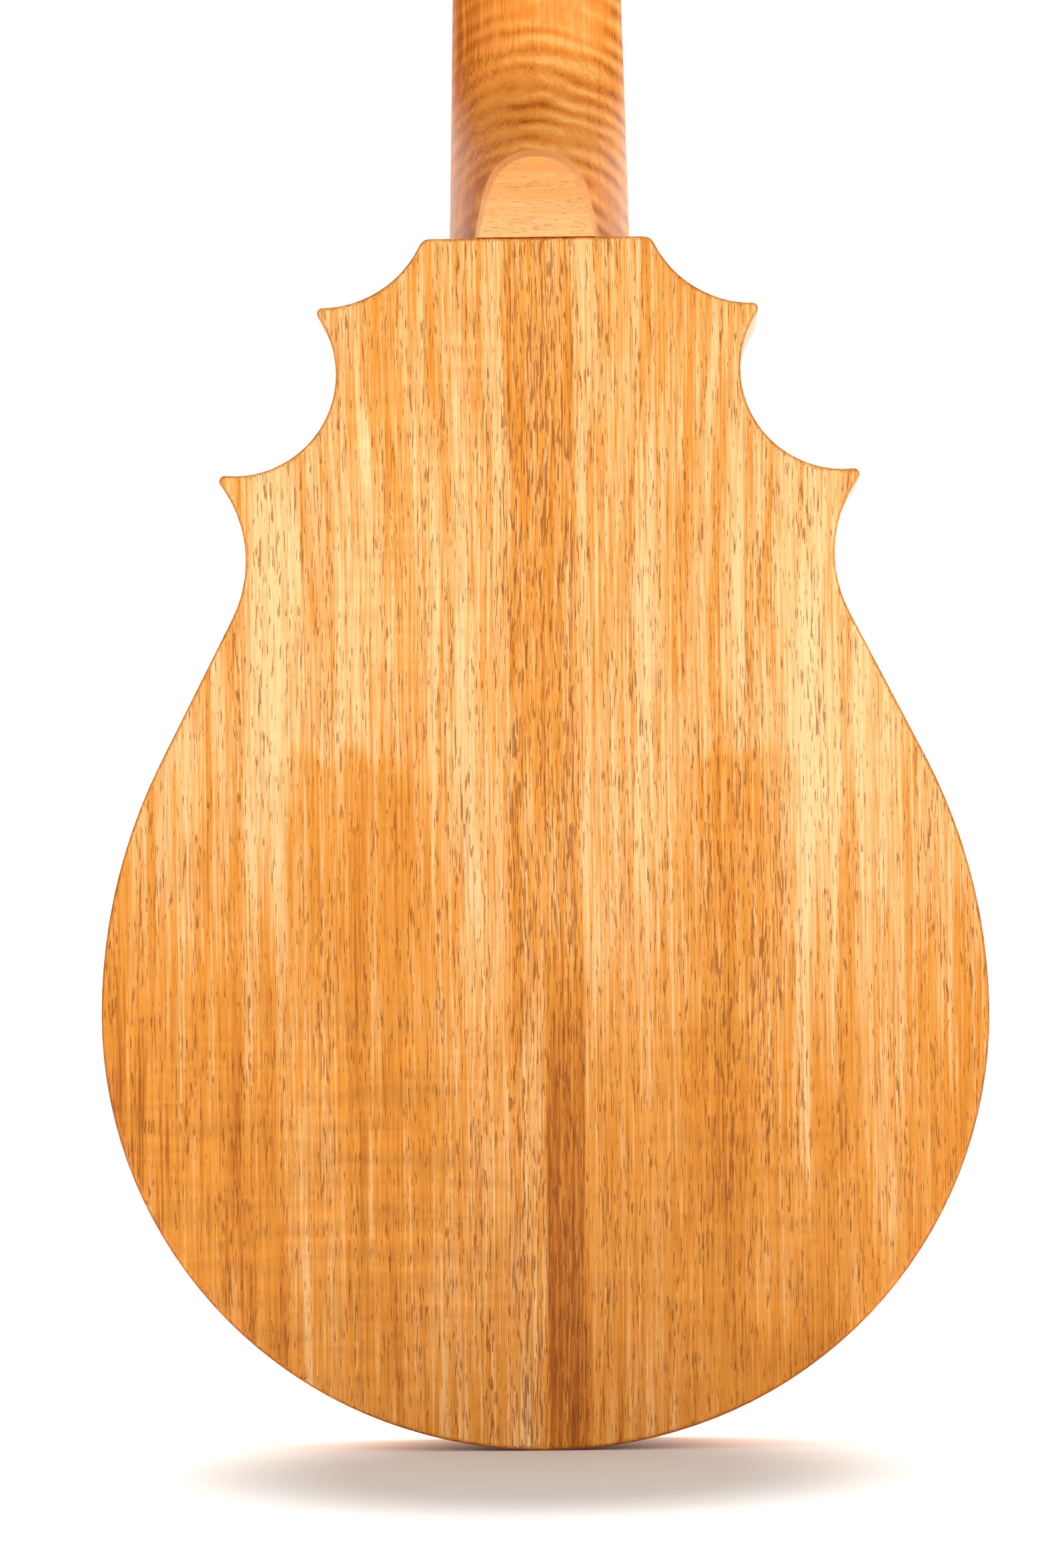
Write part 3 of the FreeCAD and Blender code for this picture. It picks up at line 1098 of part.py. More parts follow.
def thumbwheel(x):
    """A wheel on its stud, notched round its rim for grip."""
    centre = Vector(x, WHEEL_FOOT, BRIDGE_PLACE.z)
    wheel = rod(WHEEL_RADIUS, WHEEL_THICKNESS, centre, Y_AXIS)
    notches = []
    for number in range(WHEEL_NOTCHES):
        spot = centre + outward(360.0 * number / WHEEL_NOTCHES) * WHEEL_RADIUS
        notches.append(rod(WHEEL_NOTCH_RADIUS, WHEEL_THICKNESS, spot, Y_AXIS))
    wheel = wheel.cut(Part.makeCompound(notches))
    return wheel.cut(rod(STUD_RADIUS + RUNNING, WHEEL_THICKNESS, centre, Y_AXIS))


def make_bridge(parts):
    z = BRIDGE_PLACE.z
    studs = [
        rod(STUD_RADIUS, STUD_SINK + STUD_REACH, Vector(x, FOOT_TOP - STUD_SINK, z), Y_AXIS)
        for x in (-STUD_X, STUD_X)
    ]
    parts["bridge_studs"] = Part.makeCompound(studs)
    parts["bridge_foot"] = bridge_foot().cut(parts["bridge_studs"])
    parts["bridge_saddle"] = saddle()
    parts["thumbwheel_left"] = thumbwheel(-STUD_X)
    parts["thumbwheel_right"] = thumbwheel(STUD_X)


# ---- tailpiece ---------------------------------------------------------------------------------------
DECK_FOOT = TOP_FACE + TAIL_DECK_HEIGHT
DECK_TOP = DECK_FOOT + TAIL_PLATE_THICKNESS


def tail_screws():
    """Flush screws through the tail plate and the ribs into the tail block, square to the rim."""
    upper_row = TOP_FACE - TAIL_SCREW_ROW
    made = []
    places = ((TAIL_SCREW_X, upper_row), (-TAIL_SCREW_X, upper_row), (0, upper_row - TAIL_SCREW_DROP))
    wide, narrow = TAIL_SCREW_HEAD_RADIUS, TAIL_SCREW_RADIUS
    for x, y in places:
        foot = Vector(0, y, 0)
        shank = rod(narrow, TAIL_SCREW_LENGTH, foot, Z_AXIS)
        head = Part.makeCone(wide, narrow, TAIL_SCREW_HEAD_HEIGHT, foot, Z_AXIS)
        screw = fused([shank, head])
        screw.rotate(at(0, TAIL_RADIUS), Y_AXIS, math.degrees(-math.asin(x / TAIL_RADIUS)))
        made.append(screw)
    return made


def tail_side():
    """The plate's side wall, bent to the curve of the tail and let in flush with the rim."""
    start = Vector(0, TOP_FACE - TAIL_SIDE_REACH, TAIL_RADIUS)
    height = DECK_TOP - start.y
    outer = rod(TAIL_RADIUS, height, start, Y_AXIS)
    inner = rod(TAIL_RADIUS - TAIL_PLATE_THICKNESS, height, start, Y_AXIS)
    half = TAIL_PLATE_HALF_WIDTH
    wall = outer.cut(inner).common(box(-half, half, start.y, DECK_TOP, 0, TAIL_RADIUS / 2))
    low = [e for e in wall.Edges if e.BoundBox.YMax < start.y + TINY]
    corners = [e for e in low if e.BoundBox.XLength < TAIL_PLATE_THICKNESS]
    return wall.makeFillet(TAIL_PLATE_ROUNDING, corners)


def tail_deck():
    """The deck that carries the string hooks, a little above the soundboard."""
    half = TAIL_DECK_HALF_WIDTH
    deck = box(-half, half, DECK_FOOT, DECK_TOP, 0, TAIL_DECK_LENGTH)
    deck = deck.common(rod(TAIL_RADIUS, DECK_TOP, at(0, TAIL_RADIUS), Y_AXIS))
    foot = (DECK_FOOT + DECK_TOP) / 2
    reach = DECK_TOP + HOOK_HEIGHT - foot
    hooks = [
        rod(HOOK_RADIUS, reach, Vector(hook_x(bridge_x), foot, hook_z(nut_x)), Y_AXIS)
        for radius, nut_x, bridge_x, side, number in string_list()
    ]
    return fused([deck] + hooks)


def roof_edges(shape):
    """A block's top edges along its two sides and across its tail end."""
    bounds = shape.BoundBox
    top = [e for e in shape.Edges if e.BoundBox.YMin > bounds.YMax - TINY]
    return [e for e in top if e.BoundBox.ZMin < bounds.ZMin + TINY]


def tail_cover():
    """A sliding cover: a channel over the deck whose lips hook under the deck's edges."""
    inner_half = TAIL_DECK_HALF_WIDTH + SLIDING
    outer_half = inner_half + TAIL_COVER_WALL
    start, end = TAIL_COVER_START, TAIL_COVER_START + TAIL_COVER_LENGTH
    room_start = start + TAIL_COVER_WALL
    roof = DECK_TOP + TAIL_COVER_HEIGHT
    lip_top = DECK_FOOT - SLIDING
    lip_foot = lip_top - TAIL_COVER_WALL
    shell = box(-outer_half, outer_half, lip_foot, roof + TAIL_COVER_WALL, start, end)
    shell = shell.makeFillet(TAIL_COVER_ROUNDING, roof_edges(shell))
    room = box(-inner_half, inner_half, lip_top, roof, room_start, end + TAIL_COVER_WALL)
    room = room.makeFillet(TAIL_COVER_ROUNDING - TAIL_COVER_WALL, roof_edges(room))
    gap_half = inner_half - TAIL_COVER_LIP
    between_lips = box(-gap_half, gap_half, lip_foot, lip_top, start, end)
    under_wall = box(-outer_half, outer_half, lip_foot, DECK_TOP + SLIDING, start, room_start)
    return shell.cut(room).cut(between_lips).cut(under_wall)


def make_tailpiece(parts):
    screws = Part.makeCompound(tail_screws())
    side = tail_side()
    parts["tailpiece"] = fused([side, tail_deck()]).cut(screws)
    parts["tailpiece_cover"] = tail_cover()
    parts["tailpiece_screws"] = screws
    for name in ("rib_bout_left", "rib_bout_right", "top_left", "top_right"):
        parts[name] = parts[name].cut(side).cut(screws)


def build():
    parts = {}
    make_plates(parts)
    make_ribs(parts)
    make_blocks(parts)
    make_braces(parts)
    make_neck(parts)
    make_fretboard(parts)
    make_strings(parts)
    make_nut(parts)
    make_headstock(parts)
    make_tuners(parts)
    make_bridge(parts)
    make_tailpiece(parts)
    os.makedirs("parts", exist_ok=True)
    for name, shape in parts.items():
        shape.exportStep(f"parts/{name}.step")
    return parts


build()
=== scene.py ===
import json
import math

import bpy
from mathutils import Matrix, Vector


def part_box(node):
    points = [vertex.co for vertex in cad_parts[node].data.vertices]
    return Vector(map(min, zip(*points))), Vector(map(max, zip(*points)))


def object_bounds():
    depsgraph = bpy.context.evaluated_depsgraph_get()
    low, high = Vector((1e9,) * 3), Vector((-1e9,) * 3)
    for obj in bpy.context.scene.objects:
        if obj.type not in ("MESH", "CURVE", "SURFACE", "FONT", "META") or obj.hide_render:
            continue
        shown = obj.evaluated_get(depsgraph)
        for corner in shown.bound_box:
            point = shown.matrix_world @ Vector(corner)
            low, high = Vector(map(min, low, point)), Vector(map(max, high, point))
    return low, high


# A horned flat-top mandolin standing on its tail, its back to the camera. Metres.

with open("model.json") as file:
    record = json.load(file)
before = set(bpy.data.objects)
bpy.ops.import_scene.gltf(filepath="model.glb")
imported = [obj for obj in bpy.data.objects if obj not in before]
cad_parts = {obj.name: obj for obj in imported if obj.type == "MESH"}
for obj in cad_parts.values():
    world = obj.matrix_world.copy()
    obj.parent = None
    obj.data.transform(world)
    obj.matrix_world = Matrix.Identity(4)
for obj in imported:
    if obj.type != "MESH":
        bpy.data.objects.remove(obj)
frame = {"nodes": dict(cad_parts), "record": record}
CAD_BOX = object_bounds()
NODES = frame["nodes"]
MM = 1000  # millimetres in a metre


# ---- building shader trees ----------------------------------------------------------------
def node(tree, kind, inputs=None, **settings):
    """A new node; inputs are values, or output sockets to link, by name or number."""
    made = tree.nodes.new(kind)
    for name, value in settings.items():
        setattr(made, name, value)
    for name, value in (inputs or {}).items():
        socket = made.inputs[name]
        if isinstance(value, bpy.types.NodeSocket):
            tree.links.new(value, socket)
        else:
            socket.default_value = value
    return made


def calc(tree, operation, a, b=0.0, c=0.0, clamp=False):
    """One sum; c is only for MULTIPLY_ADD, which gives a * b + c."""
    inputs = {0: a, 1: b, 2: c} if operation == "MULTIPLY_ADD" else {0: a, 1: b}
    return node(tree, "ShaderNodeMath", inputs, operation=operation, use_clamp=clamp).outputs[0]


def scaled(tree, vector, factors):
    made = node(tree, "ShaderNodeVectorMath", {0: vector, 1: factors}, operation="MULTIPLY")
    return made.outputs[0]


def moved(tree, vector, by):
    return node(tree, "ShaderNodeVectorMath", {0: vector, 1: by}, operation="ADD").outputs[0]


def length(tree, vector):
    made = node(tree, "ShaderNodeVectorMath", {0: vector}, operation="LENGTH")
    return made.outputs["Value"]


def split(tree, vector):
    return node(tree, "ShaderNodeSeparateXYZ", {0: vector}).outputs


def join(tree, x, y, z):
    return node(tree, "ShaderNodeCombineXYZ", {0: x, 1: y, 2: z}).outputs[0]


def noise(tree, vector, scale=1.0, detail=2.0, roughness=0.5, distortion=0.0):
    made = node(tree, "ShaderNodeTexNoise", {
        "Vector": vector, "Scale": scale, "Detail": detail, "Roughness": roughness,
        "Distortion": distortion})
    return made.outputs["Fac"]


def eased(tree, value, low, high, to_low=0.0, to_high=1.0):
    """A smooth step: to_low where value is under low, to_high where it is over high."""
    made = node(tree, "ShaderNodeMapRange", {
        "Value": value, "From Min": low, "From Max": high, "To Min": to_low, "To Max": to_high},
        interpolation_type="SMOOTHSTEP")
    return made.outputs["Result"]


def mix(tree, share, a, b):
    """Two colours mixed by a share from 0 to 1."""
    made = node(tree, "ShaderNodeMix", data_type="RGBA", blend_type="MIX", clamp_factor=True)
    for number, value in ((0, share), (6, a), (7, b)):
        if isinstance(value, bpy.types.NodeSocket):
            tree.links.new(value, made.inputs[number])
        else:
            made.inputs[number].default_value = value
    return made.outputs[2]


def ramp(tree, value, stops, interpolation="EASE"):
    """A colour ramp from (position, colour) stops."""
    made = node(tree, "ShaderNodeValToRGB", {0: value})
    band = made.color_ramp
    band.interpolation = interpolation
    while len(band.elements) < len(stops):
        band.elements.new(0.5)
    for element, (position, colour) in zip(band.elements, stops):
        element.position = position
        element.color = colour
    return made.outputs["Color"]


def rgb(red, green, blue):
    return (red, green, blue, 1.0)


def here(tree):
    """Where the point is on the object, in metres, in the object's own frame."""
    return node(tree, "ShaderNodeTexCoord").outputs["Object"]


def turned_to(tree, axis):
    """1 where the surface faces along an axis (0, 1, 2 for X, Y, Z), 0 where it is edge on."""
    facing = tree.nodes.new("ShaderNodeTexCoord").outputs["Normal"]
    return calc(tree, "ABSOLUTE", split(tree, facing)[axis])


SOCKETS = {float: "NodeSocketFloat", tuple: "NodeSocketColor", Vector: "NodeSocketVector"}


def new_group(name, inputs, outputs):
    """A shader node group whose inputs are name: default; returns it with its two ends."""
    group = bpy.data.node_groups.new(name, "ShaderNodeTree")
    for label, default in inputs.items():
        kind = SOCKETS[type(default)]
        socket = group.interface.new_socket(label, in_out="INPUT", socket_type=kind)
        socket.default_value = default
    for label, kind in outputs.items():
        group.interface.new_socket(label, in_out="OUTPUT", socket_type=SOCKETS[kind])
    entry = group.nodes.new("NodeGroupInput")
    leave = group.nodes.new("NodeGroupOutput")
    return group, entry.outputs, leave.inputs


def put_group(tree, group, inputs):
    """A shared effect placed in a material, with its own values; returns its outputs."""
    made = node(tree, "ShaderNodeGroup", node_tree=group)
    for name, value in inputs.items():
        if isinstance(value, bpy.types.NodeSocket):
            tree.links.new(value, made.inputs[name])
        else:
            made.inputs[name].default_value = value
    return made.outputs


# ---- shared effects ------------------------------------------------------------------------
def stretched(tree, place, across, along):
    """The place stretched so that noise in it runs along Z: scales per metre across and along."""
    return scaled(tree, place, (across, across, along))


def around_middle(tree, value, reach):
    """A noise value turned into a swing about nothing that is reach wide from end to end."""
    return calc(tree, "MULTIPLY", calc(tree, "SUBTRACT", value, 0.5), reach)


def brightened(tree, colour, amount):
    """A colour made lighter by a share of itself, or darker where the amount is below 0."""
    level = calc(tree, "ADD", amount, 1.0)
    made = node(tree, "ShaderNodeVectorMath", {0: colour, "Scale": level}, operation="SCALE")
    return made.outputs[0]


# How fine the timber's figures are: noise scales per metre, across the grain and along it.
BROAD_STREAKS = (95.0, 3.5)
MIDDLE_STREAKS = (420.0, 10.0)
FINE_STREAKS = (1900.0, 30.0)
DARK_THREADS = (2500.0, 44.0)
PORE_DASHES = (3300.0, 240.0)
PORE_CROWDS = (330.0, 16.0)
CROSS_ROLLS = (42.0, 260.0)
# How far they move the tone, and the noise levels at which the marks show.
STREAK_SWING = 0.95
FINE_SWING = 2.0
THREAD_STARTS, THREAD_FULL = 0.52, 0.68
PORE_STARTS = 0.71  # the noise level above which a pore shows
PORE_SOFTNESS = 0.055
CROWD_SWING = 0.30
CROWDING_EFFECT = -0.14
PORE_SHADE = -0.35  # against the timber's dark colour
ROLL_SWING = 0.9


def timber_group():
    """Straight-grained timber along Z: streaks, dark threads, open pores and ripples across."""
    tree, given, out = new_group("Timber", {
        "Place": Vector((0.0, 0.0, 0.0)), "Fine Place": Vector((0.0, 0.0, 0.0)), "Tone": 0.6,
        "Light": rgb(0.8, 0.5, 0.2), "Middle": rgb(0.6, 0.3, 0.1), "Dark": rgb(0.3, 0.12, 0.04),
        "Streaks": 0.6, "Threads": 0.5, "Pores": 0.5, "Crowding": 0.5, "Ripple": 0.0},
        {"Colour": tuple, "Height": float, "Roughness": float})
    place, close = given["Place"], given["Fine Place"]
    broad = noise(tree, stretched(tree, place, *BROAD_STREAKS), detail=3.0, roughness=0.55)
    medium = noise(tree, stretched(tree, place, *MIDDLE_STREAKS), detail=3.0, roughness=0.6)
    fine = noise(tree, stretched(tree, close, *FINE_STREAKS), detail=3.0, roughness=0.75)
    swing = calc(tree, "ADD", around_middle(tree, broad, STREAK_SWING),
                 around_middle(tree, medium, STREAK_SWING))
    swing = calc(tree, "ADD", swing, around_middle(tree, fine, FINE_SWING))
    tone = calc(tree, "MULTIPLY_ADD", swing, given["Streaks"], given["Tone"], clamp=True)
    deep = mix(tree, eased(tree, tone, 0.0, 0.5), given["Dark"], given["Middle"])
    colour = mix(tree, eased(tree, tone, 0.45, 1.0), deep, given["Light"])
    # threads: thin, long, dark lines
    thread = noise(tree, stretched(tree, close, *DARK_THREADS), detail=2.0, roughness=0.7)
    lines = eased(tree, thread, THREAD_STARTS, THREAD_FULL)
    share = calc(tree, "MULTIPLY", lines, given["Threads"], clamp=True)
    colour = mix(tree, share, colour, given["Dark"])
    # pores: short dark dashes that crowd together in places
    dash = noise(tree, stretched(tree, close, *PORE_DASHES), detail=1.0, roughness=0.4)
    crowd = noise(tree, stretched(tree, place, *PORE_CROWDS), detail=2.0)
    edge = calc(tree, "MULTIPLY_ADD", around_middle(tree, crowd, CROWD_SWING), -1.0, PORE_STARTS)
    edge = calc(tree, "MULTIPLY_ADD", given["Crowding"], CROWDING_EFFECT, edge)
    open_pore = eased(tree, calc(tree, "SUBTRACT", dash, edge), 0.0, PORE_SOFTNESS)
    pore = calc(tree, "MULTIPLY", open_pore, given["Pores"], clamp=True)
    colour = mix(tree, pore, colour, brightened(tree, given["Dark"], PORE_SHADE))
    # ripples: light and dark rolls across the grain
    roll = noise(tree, stretched(tree, close, *CROSS_ROLLS), detail=2.0, distortion=0.4)
    rolling = calc(tree, "MULTIPLY", around_middle(tree, roll, ROLL_SWING), given["Ripple"])
    colour = brightened(tree, colour, rolling)
    sunk = calc(tree, "MULTIPLY_ADD", lines, -0.2, calc(tree, "MULTIPLY", pore, -1.0))
    rough = calc(tree, "MULTIPLY_ADD", pore, 0.3, eased(tree, medium, 0.3, 0.7, 0.26, 0.36))
    tree.links.new(colour, out["Colour"])
    tree.links.new(sunk, out["Height"])
    tree.links.new(rough, out["Roughness"])
    return tree


def handling_group():
    """Faint smudges and hairlines on a polished face: where they are, and how rough it is."""
    tree, given, out = new_group("Handling", {
        "Place": Vector((0.0, 0.0, 0.0)), "Clean": 0.2, "Worn": 0.4},
        {"Roughness": float, "Mask": float})
    smudge = noise(tree, scaled(tree, given["Place"], (45.0, 45.0, 45.0)), detail=4.0,
                   roughness=0.6)
    mask = eased(tree, smudge, 0.35, 0.75)
    hair = noise(tree, scaled(tree, given["Place"], (900.0, 900.0, 60.0)), detail=2.0)
    share = calc(tree, "MULTIPLY_ADD", hair, 0.25, calc(tree, "MULTIPLY", mask, 0.75), clamp=True)
    spread = calc(tree, "SUBTRACT", given["Worn"], given["Clean"])
    tree.links.new(calc(tree, "MULTIPLY_ADD", spread, share, given["Clean"]), out["Roughness"])
    tree.links.new(mask, out["Mask"])
    return tree


TIMBER = timber_group()
HANDLING = handling_group()


def new_material(name, **uniform):
    """A material with a Principled shader; uniform values sit on the shader's own sockets."""
    made = bpy.data.materials.new(name)
    made.use_nodes = True
    tree = made.node_tree
    shader = tree.nodes["Principled BSDF"]
    for label, value in uniform.items():
        shader.inputs[label.replace("_", " ")].default_value = value
    return made, tree, shader


def bumped(tree, shader, height, distance):
    made = node(tree, "ShaderNodeBump", {"Height": height, "Distance": distance, "Strength": 1.0})
    tree.links.new(made.outputs["Normal"], shader.inputs["Normal"])


GLOSS = {"Coat_Weight": 0.12, "Coat_Roughness": 0.2, "Specular_IOR_Level": 0.15}
SATIN = {"Coat_Weight": 0.0, "Specular_IOR_Level": 0.05}
BARE = {"Coat_Weight": 0.0, "Specular_IOR_Level": 0.25}
PORE_DEPTH = 0.00003


def timber(tree, shader, place, close=None, **looks):
    """Timber on a shader; looks are the group's other inputs, and close is for the fine marks."""
    figure = put_group(tree, TIMBER, {"Place": place, "Fine Place": close or place, **looks})
    tree.links.new(figure["Colour"], shader.inputs["Base Color"])
    tree.links.new(figure["Roughness"], shader.inputs["Roughness"])
    bumped(tree, shader, figure["Height"], PORE_DEPTH)


# ---- woods -----------------------------------------------------------------------------------
SWAY = (9.0, 9.0, 5.4)  # noise scales per metre


def wandering(tree, reach):
    """The point, shifted a little sideways by slow noise so that the grain isn't ruler-straight."""
    place = here(tree)
    sway = noise(tree, scaled(tree, place, SWAY), detail=2.0)
    return moved(tree, place, join(tree, around_middle(tree, sway, reach), 0.0, 0.0))


def patch(tree, place, left, right, low, high, soft_x, soft_top, soft_foot=None):
    """1 inside a soft-edged upright rectangle, seen along Y, and 0 outside. Millimetres."""
    soft_foot = soft_foot or soft_top
    x, y, z = split(tree, place)[:3]
    sides = calc(tree, "MULTIPLY",
                 eased(tree, x, (left - soft_x) / MM, (left + soft_x) / MM),
                 eased(tree, x, (right - soft_x) / MM, (right + soft_x) / MM, 1.0, 0.0))
    ends = calc(tree, "MULTIPLY",
                eased(tree, z, (low - soft_foot) / MM, (low + soft_foot) / MM),
                eased(tree, z, (high - soft_top) / MM, (high + soft_top) / MM, 1.0, 0.0))
    return calc(tree, "MULTIPLY", sides, ends)


# Where the back is darker (below 0) or lighter (above 0) than its run of the grain, one row being a
# painted sheen: the change of tone, then left, right, low and high, and how soft the sides and the
# top are, in millimetres. The foot is as soft as the top, unless a last value says otherwise.
BACK_PATCHES_AND_PAINTED_SHEEN = (
    (-0.19, -150, 150, -20, 112, 1, 46),
    (-0.17, -62, -34, 118, 168, 7, 2.5, 24),
    (-0.12, -36, -22, 118, 164, 5, 5, 24),
    (-0.10, -48, -30, 70, 126, 9, 18),
    (-0.07, -108, -66, 20, 150, 8, 30),
    (-0.14, 38, 58, 120, 169, 4, 3, 30),
    (-0.10, 36, 52, 50, 104, 5, 3, 20),
    (-0.16, 48, 76, 6, 30, 7, 8),
    (-0.13, -9, 9, 100, 310, 2, 26),
    (0.10, -9, -0.3, -20, 96, 0.8, 16),
    (-0.30, 0.2, 9.4, -30, 112, 0.5, 20),
    (-0.06, 9, 24, -20, 100, 2, 16),
    (0.16, -70, -60, 150, 236, 3, 14),
    (0.10, -64, -59, 20, 150, 1.4, 22),
    (0.14, -46, -41, 168, 250, 1.5, 12),
    (0.11, -44, -39, 40, 112, 1.5, 14),
    (0.10, -22, -16, 90, 250, 2, 40),
    (0.10, 22, 26, 120, 260, 2, 30),
    (0.22, 60, 65, 60, 205, 2, 18),
    # painted highlight: this lighter patch on the right is a painted sheen, not the timber's own
    # tone
    (0.14, 64, 84, 150, 240, 7, 24),
    (0.09, 76, 84, 60, 150, 4, 24),
    (-0.05, -108, -92, 60, 180, 8, 30),
)

# Other areas of the back, without a tone.
SEAM_BAND = (-9, 9.4, -20, 310, 1.0, 10)  # the darker boards either side of the middle joint
SPECKLED = (36, 60, 60, 175, 5, 14)
LOW_LEFT_ROLLS = (-110, -8, 20, 105, 10, 16)
UPPER_LEFT_ROLLS = (-50, -8, 180, 280, 8, 24)
LOW_RIGHT_ROLLS = (14, 76, 20, 100, 8, 16)
SEAM_REACH = 10  # a patch that lies within this many millimetres of the joint keeps to the band
# How fine the noise is that streaks the patches, and that tears and bends their edges.
PATCH_STREAKS = (420.0, 9.0)
PATCH_TEARS = (240.0, 20.0)
PATCH_BENDS = (22.0, 22.0, 22.0)
TEAR_REACH = 0.022
BEND_REACH = 0.009
BACK_TONE = 0.68
PAINTED_EDGE_SHADE = 0.42  # painted shade: how much darker the rounded edge is painted, where it turns from the light


def back_tone_with_painted_light(tree, torn, seam):
    """The back's tone: its patches, a little streaked, and painted shade where the edge turns away.
    """
    streaked = noise(tree, stretched(tree, here(tree), *PATCH_STREAKS), detail=2.0)
    tone = 0.0
    for amount, *bounds in BACK_PATCHES_AND_PAINTED_SHEEN:
        by_seam = max(abs(bounds[0]), abs(bounds[1])) < SEAM_REACH
        inside = patch(tree, seam if by_seam else torn, *bounds)
        tone = calc(tree, "MULTIPLY_ADD", inside, amount, tone)
    strength = eased(tree, streaked, 0.3, 0.7, 0.65, 1.3)
    tone = calc(tree, "MULTIPLY_ADD", tone, strength, BACK_TONE)
    # painted shade on the rounded edge: darker where the surface turns away from the back's face
    edge = eased(tree, turned_to(tree, 1), 0.55, 0.97, PAINTED_EDGE_SHADE, 0.0)
    return calc(tree, "SUBTRACT", tone, edge)


def back_wood():
    """Two halves opened like a book: the grain mirrors, and each half has its own patches."""
    made, tree, shader = new_material("golden back wood", **GLOSS)
    place = wandering(tree, 0.0035)
    x, y, z = split(tree, place)[:3]
    uneven = noise(tree, scaled(tree, here(tree), (5.0, 5.0, 5.0)), detail=1.0)
    from_joint = calc(tree, "ADD", calc(tree, "ABSOLUTE", x), around_middle(tree, uneven, 0.02))
    folded = join(tree, from_joint, y, z)
    # the patches have ragged edges, and beside the joint only their ends are ragged
    ragged = noise(tree, stretched(tree, here(tree), *PATCH_TEARS), detail=3.0, roughness=0.6)
    bent = noise(tree, scaled(tree, here(tree), PATCH_BENDS), detail=2.0)
    tearing = join(tree, around_middle(tree, bent, BEND_REACH), 0.0,
                   around_middle(tree, ragged, TEAR_REACH))
    torn = moved(tree, here(tree), tearing)
    seam = join(tree, *split(tree, here(tree))[:2], split(tree, torn)[2])
    tone = back_tone_with_painted_light(tree, torn, seam)
    middle = patch(tree, seam, *SEAM_BAND)
    speckled = patch(tree, torn, *SPECKLED)
    crowding = calc(tree, "MULTIPLY_ADD", speckled, 0.4, 0.55)
    crowding = calc(tree, "MULTIPLY_ADD", middle, 0.55, crowding)
    threads = calc(tree, "MULTIPLY_ADD", middle, 0.28, 0.34)
    rolls = 0.16
    for area, more in ((UPPER_LEFT_ROLLS, 0.30), (LOW_LEFT_ROLLS, 0.40), (LOW_RIGHT_ROLLS, 0.2)):
        rolls = calc(tree, "MULTIPLY_ADD", patch(tree, torn, *area), more, rolls)
    timber(tree, shader, folded, close=place, Tone=tone, Light=rgb(0.92, 0.60, 0.28),
           Middle=rgb(0.71, 0.262, 0.028), Dark=rgb(0.36, 0.085, 0.004), Streaks=0.62,
           Threads=threads, Pores=0.7, Crowding=crowding, Ripple=rolls)
    return made


# The same for the neck: a painted shadow in the hollow above the heel's cap, and two fine joint
# lines.
NECK_SHADOW_AND_JOINTS = (
    # painted shadow in the hollow above the heel's cap
    (-0.20, -6, 3, 322, 333, 6, 6),
    (-0.14, 12.6, 12.9, 293, 335, 0.3, 8),
    (-0.14, 15.2, 15.5, 293, 350, 0.3, 8),
)
NECK_CUT = (0.4, 0.0, 0.0)  # moves the neck to another place in the timber
CURL_ARCH = 15.0  # how fast the rolls rise to the neck's sides, per metre
CURL_PITCH = 1250.0  # radians of roll per metre of height
CURL_WANDER = 14.0
CURL_STRENGTH = 0.26
PAINTED_SIDE_SHADE = 0.18  # painted shade: how much darker the neck's sides are painted, against the side lights


def neck_curl(tree, place):
    """Rolls across the grain that arch over the neck, come and go, and fade towards -X."""
    x, y, z = split(tree, place)[:3]
    arch = calc(tree, "MULTIPLY", calc(tree, "MULTIPLY", x, x), CURL_ARCH)
    height = calc(tree, "ADD", z, arch)
    slow = join(tree, calc(tree, "MULTIPLY", x, 45.0), y, calc(tree, "MULTIPLY", height, 60.0))
    drift = around_middle(tree, noise(tree, slow, detail=2.0), CURL_WANDER)
    wave = calc(tree, "SINE", calc(tree, "MULTIPLY_ADD", height, CURL_PITCH, drift))
    come_and_go = noise(tree, scaled(tree, place, (60.0, 60.0, 90.0)), detail=2.0)
    strength = calc(tree, "MULTIPLY", eased(tree, come_and_go, 0.26, 0.54),
                    eased(tree, x, -0.018, 0.004, 0.25, 1.0))
    return calc(tree, "MULTIPLY", calc(tree, "MULTIPLY", wave, strength), CURL_STRENGTH)


def neck_wood():
    """Curly timber, with painted shade towards -X and on its sides."""
    made, tree, shader = new_material("curly neck wood", **SATIN)
    place = wandering(tree, 0.004)
    # painted shade: the tone falls towards -X, the side away from the key light
    across = eased(tree, split(tree, place)[0], -0.020, 0.006, 0.34, 0.62)
    tone = calc(tree, "ADD", across, neck_curl(tree, place))
    # painted shade on the neck's sides, where they face along X
    side = eased(tree, turned_to(tree, 0), 0.35, 0.95, 0.0, PAINTED_SIDE_SHADE)
    tone = calc(tree, "SUBTRACT", tone, side)
    for amount, *bounds in NECK_SHADOW_AND_JOINTS:
        tone = calc(tree, "MULTIPLY_ADD", patch(tree, place, *bounds), amount, tone)
    timber(tree, shader, moved(tree, place, NECK_CUT), Tone=tone,
           Light=rgb(0.92, 0.44, 0.12), Middle=rgb(0.72, 0.24, 0.034), Dark=rgb(0.34, 0.08, 0.006),
           Streaks=0.45, Threads=0.20, Pores=0.35, Crowding=0.1, Ripple=0.10)
    return made


